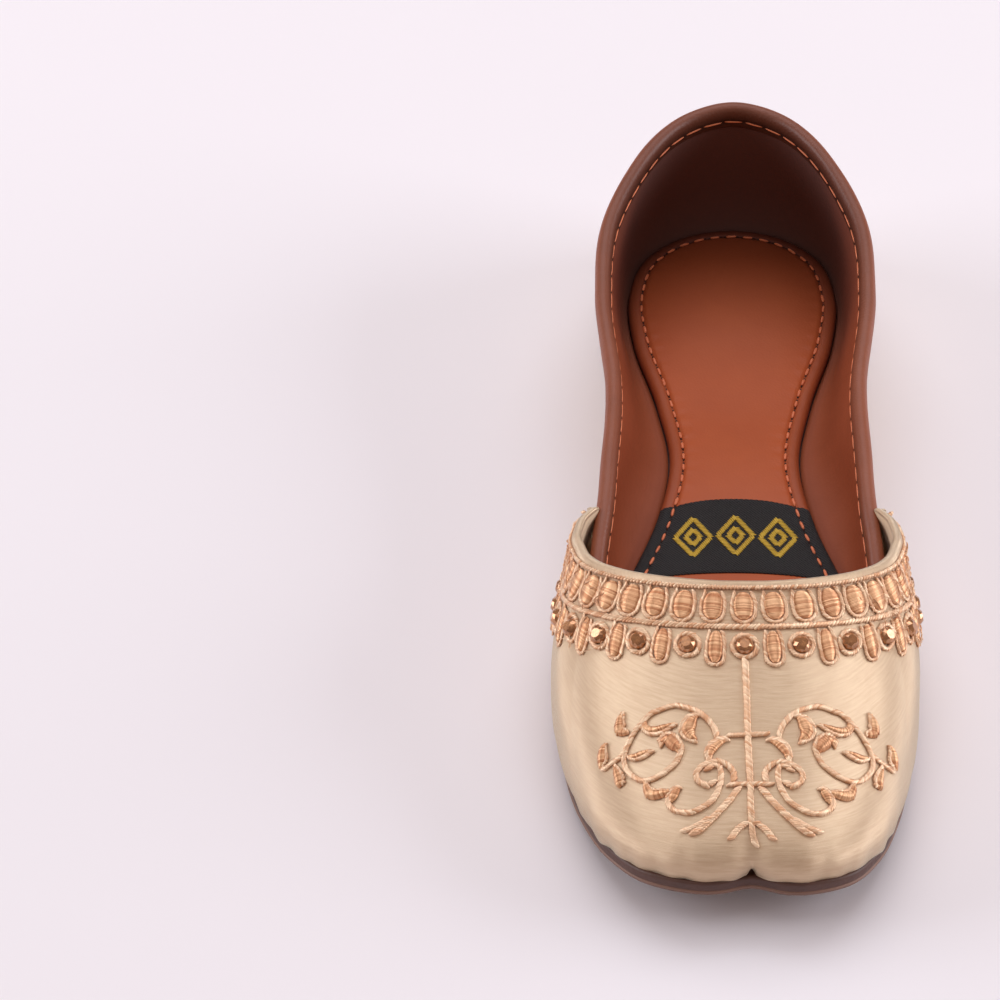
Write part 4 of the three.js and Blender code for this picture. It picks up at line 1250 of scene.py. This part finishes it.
def cord(line, facing, thick, pitch, slant, height, lift=0.3, into=outlines):
    """Couched cord: slanted stitches over a core, along a line on the vamp."""
    rough = evenly(line, 0.6, offset=0.0)[0]
    rough = np.vstack([rough, np.asarray(line)[-1:]])
    guess = np.asarray(facing)
    guess = guess[np.linspace(0, len(guess) - 1, len(rough)).astype(int)]
    laid, normals = laid_on(vamp_surface, rough, 0.0, guess)
    points, along, _ = evenly(laid, pitch)
    index = np.linspace(0, len(normals) - 1, len(points)).astype(int)
    face = normals[index]
    into.add(points + face * lift * MM, slanted(along, face, slant), face, (thick * 2.1, thick, height))
    core_lines.append(laid + normals * 0.12 * MM)


# %% Ropes along the throat
ROPES = [(1.35, 0.8, 1.35, 0.8, 45), (10.9, 0.8, 2.0, 0.85, 42)]   # depth, pitch, length, thickness, slant
ROPE_COLUMNS = 500
for depth, pitch, length, thick, slant in ROPES:
    turns = np.linspace(-WING_END, WING_END, ROPE_COLUMNS)
    ups = vamp_ruler.up(turns, np.full(ROPE_COLUMNS, depth))
    line, _, normal = wall_frame(VAMP, turns, ups)
    laid, normals = laid_on(vamp_surface, line, 0.0, normal)
    points, along, _ = evenly(laid, pitch)
    face = normals[np.linspace(0, len(normals) - 1, len(points)).astype(int)]
    outlines.add(points + face * 0.34 * MM, slanted(along, face, slant), face, (length, thick, 0.85))
    rope_cores.append(laid + normals * 0.05 * MM)
print("ropes:", len(ROPES), "with", sum(len(row[0]) for row in outlines.rows), "stitches")


# %% Petals and crystals
def row_places(first, last, falloff, depth):
    """Turns of the elements of a row: the pitch shrinks from first to last away from the middle."""
    lengths, total, limit = [0.0], 0.0, vamp_ruler.turn(0, depth)[1] - 2.2
    k = 0
    while True:
        total += last + (first - last) * math.exp(-((k / falloff) ** 2))
        if total > limit:
            break
        lengths.append(total)
        k += 1
    signed = [(k, a) for k, a in enumerate(lengths)] + [(-k, -a) for k, a in enumerate(lengths) if k]
    return [(k, float(vamp_ruler.turn(a, depth)[0])) for k, a in sorted(signed)]


def sketched(turn, shape):
    """Points on the vamp from pairs of sideways place and depth, about the rib at a turn."""
    shape = np.array(shape, float)
    ups = vamp_ruler.up(np.full(len(shape), turn), shape[:, 1])
    point, around, normal = wall_frame(VAMP, np.full(len(shape), turn), ups)
    return point + around * (shape[:, :1] * MM), normal


FILL_TOP, FILL_MARGIN, FILL_PITCH = 0.25, 0.9, 0.3          # where the threads of a fill lie
FILL_OVERHANG, FILL_THREAD, FILL_HEIGHT = 0.45, 0.62, 0.8


def petal(turn, top, bottom, wide, fill_wide):
    """A U of fine cord round a padded oval of satin stitches, which run across it."""
    tall, half = bottom - top, wide / 2
    arc = [math.pi * k / 10 for k in range(11)]
    u_shape = [(-half * 0.7, top), (-half, top + tall * 0.35)]
    u_shape += [(-half * math.cos(a), bottom - half * 1.05 + half * 1.05 * math.sin(a)) for a in arc]
    u_shape += [(half, top + tall * 0.35), (half * 0.7, top)]
    line, normal = sketched(turn, u_shape)
    cord(line, normal, thick=0.66, pitch=0.58, slant=34, height=0.62, lift=0.32)
    fill_tall = tall - FILL_MARGIN
    rows = max(int(round(fill_tall / FILL_PITCH)), 4)
    for k in range(rows):
        q = (k + 0.5) / rows * 2 - 1
        reach = fill_wide / 2 * math.sqrt(max(1 - abs(q) ** 2.6, 0.15))
        depth = top + FILL_TOP + (q + 1) / 2 * fill_tall
        ends, normals = sketched(turn, [(-reach, depth), (0, depth), (reach, depth)])
        spot, facing = laid_on(vamp_surface, ends[1:2], 0.12, normals[1:2])
        size = (2 * reach + FILL_OVERHANG, FILL_THREAD, FILL_HEIGHT * (1 - 0.3 * q * q))
        fills.add(spot, unit(ends[2] - ends[0]), facing, size)


CRYSTAL_DEPTH, RING_RADIUS, CRYSTAL_ACROSS = 15.7, 2.75, 4.3
UPPER_PETAL = (2.2, 9.8, 5.3, 4.4)        # depth of its top and bottom, width, width of its fill
LOWER_PETAL = (12.0, 20.6, 4.0, 3.1)
UPPER_ROW = row_places(6.9, 5.0, 4.5, 6.0)
LOWER_ROW = row_places(6.5, 4.4, 4.2, CRYSTAL_DEPTH)
for _, turn in UPPER_ROW:
    petal(turn, *UPPER_PETAL)
crystals = Stitches()
for k, turn in LOWER_ROW:
    if k % 2:
        petal(turn, *LOWER_PETAL)
    else:
        circle = [(RING_RADIUS * math.sin(a), CRYSTAL_DEPTH - RING_RADIUS * math.cos(a)) for a in
                  np.linspace(0, 2 * math.pi, 25)]
        line, normal = sketched(turn, circle)
        cord(line, normal, thick=0.85, pitch=0.6, slant=36, height=0.8)
        centre, normal = sketched(turn, [(0.0, CRYSTAL_DEPTH), (0.5, CRYSTAL_DEPTH)])
        laid, facing = laid_on(vamp_surface, centre, 0.35, normal)
        crystals.add(laid[:1], unit(laid[1:] - laid[:1]), facing[:1],
                     (CRYSTAL_ACROSS, CRYSTAL_ACROSS, CRYSTAL_ACROSS))
print("upper petals:", len(UPPER_ROW), " lower row:", len(LOWER_ROW))

# %% [markdown]
# ## The scroll motif
# The motif is drawn flat, in millimetres from the middle crystal, on a sheet that leans 45 degrees
# and faces the slope of the toe. It is drawn for one side, mirrored for the other, and dropped at a
# right angle from the sheet onto the satin. A Shrinkwrap modifier could press finished cords down,
# but it would flatten them, so only the bare lines are dropped and the stitches come after.

# %% The motif's lines
MOTIF = {  # name: (points sideways and down the sheet, thickness, mirrored)
    "stem": ([(0, 2.6), (0.1, 12), (0, 20), (0.1, 30), (0, 36), (0.2, 41), (0.8, 43.5)], 1.0, False),
    "upper_bar": ([(-4.7, 19.6), (0, 19.4), (4.5, 19.2)], 0.8, False),
    "lower_bar": ([(-4.8, 30.4), (0, 30.2), (5.0, 30.3)], 0.85, False),
    "curve": ([(4.6, 20.3), (6.6, 20.6), (8.2, 21.8), (8.9, 23.4), (8.6, 24.9)], 1.1, True),
    "scroll": ([(6.8, 19.8), (7.4, 18), (8.8, 16), (11.1, 14.2), (13.8, 13.3), (16.1, 13.0), (19, 13.9),
                (21.4, 15), (23.3, 17), (24.8, 18.8), (26.1, 21), (27.1, 23.3), (27.4, 25), (27.1, 27),
                (25.6, 28.8), (23.3, 29.7), (20.6, 29), (18.2, 27.5), (16.1, 25.7), (15.1, 23.7), (14.7, 22),
                (15.7, 20.2), (17.6, 19.3), (19.1, 20.4), (18.9, 22)], 0.9, True),
    "scroll_end": ([(15.1, 23.7), (14.7, 22), (15.7, 20.2), (17.6, 19.3), (19.6, 20.9)], 0.7, True),
    "leaf_a": ([(10.9, 15.0), (12.8, 15.5), (14.3, 17.2), (14.4, 19), (13.2, 20.4), (11.4, 20.9)], 0.9, True),
    "leaf_b": ([(15.9, 17.1), (17.6, 18.3), (19.8, 19.3), (21.9, 19.2), (23.1, 17.9), (22.7, 16.4)],
               0.8, True),
    "leaf_c": ([(21.2, 23.1), (23.1, 24.4), (24.7, 25), (26.6, 24.6)], 0.85, True),
    "tail": ([(27.1, 23.3), (28.6, 24.8), (30.4, 26.1), (32.3, 27.5)], 0.8, True),
    "hook": ([(32.3, 27.5), (33.3, 26.6), (33.5, 24.3), (32.8, 22.5), (31.7, 21.4)], 0.85, True),
    "leaf_low": ([(29.9, 26.4), (29.9, 28.8), (29.2, 31.2), (27.6, 30.6)], 1.0, True),
    "leaf_outer": ([(27.9, 14.5), (29.1, 16.3), (29.5, 18.3), (28.7, 19.7), (26.2, 19.5)], 1.0, True),
    "leaf_under": ([(23.3, 29.9), (23.4, 31.9), (22.6, 33.6), (20.8, 33.9), (19, 33.2), (17.3, 32.3)],
                   0.8, True),
    "j_curl": ([(9.3, 27.3), (8.0, 26.2), (6.7, 26.4), (6.2, 28.2), (6.7, 30.8), (8.3, 33.7), (10.7, 35.4),
                (13.3, 36.5), (16.2, 36.3), (17.8, 35), (17.9, 33.2), (16.6, 31.5), (15.3, 31)], 0.9, True),
    "j_leaf": ([(15.1, 31.0), (15.9, 33.2), (17.1, 34.5)], 0.9, True),
    "spiral": ([(3.5, 29.6), (3.6, 27.5), (5, 26), (7, 25.3), (9.2, 25.8), (10.9, 26.9), (11.7, 28.4),
                (10.9, 29.9), (9.1, 30.6), (7.8, 29.6)], 0.95, True),
    "stroke": ([(2.5, 31.0), (4.6, 33.7), (7.7, 36.9), (10.5, 39.5), (13.0, 41.3)], 1.0, True),
    "stroke_outer": ([(9.0, 37.6), (12.0, 39.4), (15.1, 40.7)], 0.9, True),
    "prong": ([(0.9, 38.5), (3.0, 40.0), (4.7, 42.2)], 0.9, True)}
LEAVES = {  # name of a line: width of the satin-stitched leaf in its hollow, whether the cord moves inside
    "leaf_a": (3.0, False), "leaf_b": (1.8, False), "leaf_c": (1.5, False), "hook": (2.3, True),
    "leaf_low": (2.1, True), "leaf_outer": (2.3, True), "leaf_under": (2.4, True), "j_leaf": (1.9, True),
    "curve": (1.6, False), "scroll_end": (3.0, False)}
SHEET_LEAN = math.radians(45)
CENTRE_CRYSTAL_DEPTH = 16.2

middle_rib = wall_point(VAMP, 0.0, np.linspace(0, 1, 200))


def down_sheet(p):
    """How far down the leaning sheet a point lies, in metres."""
    return -p[..., 1] * math.cos(SHEET_LEAN) - p[..., 2] * math.sin(SHEET_LEAN)


rib_down = down_sheet(middle_rib)
order = np.argsort(rib_down)
sheet_start = down_sheet(wall_point(VAMP, 0.0, vamp_ruler.up(0.0, CENTRE_CRYSTAL_DEPTH)))
sheet_normal = Vector((0, -math.sin(SHEET_LEAN), math.cos(SHEET_LEAN)))
SHEET_CLEAR = 0.3       # metres from the sheet to the shoe, so that every line starts outside it


def dropped(flat_points, side):
    """Points of the sheet dropped onto the vamp, with the normals there."""
    found, normals = [], []
    for u, v in flat_points:
        down = sheet_start + v * MM
        x = np.interp(down, rib_down[order], middle_rib[order, 0]) + side * u * MM
        start = Vector((x, -down * math.cos(SHEET_LEAN), -down * math.sin(SHEET_LEAN)))
        spot, normal = vamp_surface.ray_cast(start + sheet_normal * SHEET_CLEAR, -sheet_normal)[:2]
        found.append(spot)
        normals.append(normal)
    return np.array(found), np.array(normals)


def rounded(points, pitch=0.8):
    """A smooth curve through the points of a drawing (Catmull-Rom)."""
    p = np.array(points, float)
    p = np.vstack([2 * p[0] - p[1], p, 2 * p[-1] - p[-2]])
    out = []
    for a, b, c, d in zip(p[:-3], p[1:-2], p[2:-1], p[3:]):
        n = max(int(np.linalg.norm(c - b) / pitch), 2)
        for t in np.arange(n) / n:
            out.append(0.5 * (2 * b + (c - a) * t + (2 * a - 5 * b + 4 * c - d) * t**2
                              + (3 * b - a - 3 * c + d) * t**3))
    return np.vstack([out, p[-2][None]])


# %% Cords and leaves of the motif
def leaf(line, width):
    """Centre line, inner edge and widths of a crescent that fills the hollow side of a curve."""
    ahead = unit(np.gradient(line, axis=0))
    bend = np.sign(np.sum(ahead[:-1, 0] * ahead[1:, 1] - ahead[:-1, 1] * ahead[1:, 0]))
    inward = bend * np.stack([-ahead[:, 1], ahead[:, 0]], -1)
    wide = width * np.sin(np.pi * np.linspace(0.04, 0.96, len(line))) ** 0.8
    return line + inward * wide[:, None] / 2, line + inward * wide[:, None], wide


motif = Stitches()
for name, (points, thick, mirrored) in MOTIF.items():
    for side in ((1, -1) if mirrored else (1,)):
        drawn = rounded(points, 0.4)
        if name in LEAVES:
            width, inside = LEAVES[name]
            middle, edge, wide = leaf(drawn, width)
            line, normal = dropped(middle, side)
            spots, along, _ = evenly(line, 0.29)
            index = np.linspace(0, len(line) - 1, len(spots)).astype(int)
            face = normal[index]
            size = np.stack([wide[index] + 0.3, 0 * wide[index] + 0.62, 0.3 + 0.26 * wide[index]], -1)
            fills.add(spots + face * 0.12 * MM, slanted(along, face, 78 * side), face, size)
            if inside:
                drawn, thick = edge, thick * 0.85
        line, normal = dropped(drawn, side)
        cord(line, normal, thick=thick * 1.05, pitch=0.6, slant=36 * side, height=0.85, into=motif)
print("motif:", len(MOTIF), "drawn lines,", sum(len(row[0]) for row in motif.rows), "stitches")

# %% [markdown]
# ## Loose fibres, and the pieces of thread
# Metallic thread sheds a few stray fibres, which keep the rows from looking printed. Their places
# come from one generator with a fixed seed, so every run gives the same shoe. Everything collected
# so far is then set as a handful of pieces, one for each kind of thread, because one object for
# each stitch would be slow to handle.

# %% Loose fibres
FIBRES = 420
chance = np.random.default_rng(11)
fibre_turns = np.sign(chance.uniform(-1, 1, FIBRES)) * chance.uniform(0.1, 0.97, FIBRES) ** 0.6
fibre_depths = chance.uniform(1.5, 20.5, FIBRES)
line, around, normal = wall_frame(VAMP, fibre_turns, vamp_ruler.up(fibre_turns, fibre_depths))
spots, face = laid_on(vamp_surface, line, 0.75, normal)
flow = np.cross(face, around)
lean = chance.uniform(-75, 75, FIBRES)[:, None]
fibres = Stitches()
fibres.add(spots, slanted(flow, face, lean), face,
           np.stack([chance.uniform(0.9, 2.6, FIBRES), np.full(FIBRES, 0.1), np.full(FIBRES, 0.35)], -1))

# %% Thread pieces
outlines.make("throat_embroidery", stitch_shape, thread, "satin", turn=0.16, spread=0.1, seed=3)
motif.make("toe_motif", stitch_shape, thread, "satin", turn=0.12, spread=0.08, seed=5)
fills.make("petal_fills", satin_stitch_shape, fill_thread, "satin", turn=0.03, spread=0.03, seed=7)
fibres.make("loose_fibres", satin_stitch_shape, thread, "satin", turn=0.3, spread=0.3, seed=13)
cores("cord_cores", core_lines, 0.32, core_thread)
cores("rope_cores", rope_cores, 0.42, core_thread)
crystals.make("crystals", crystal_cut, crystal, "satin", seed=9)
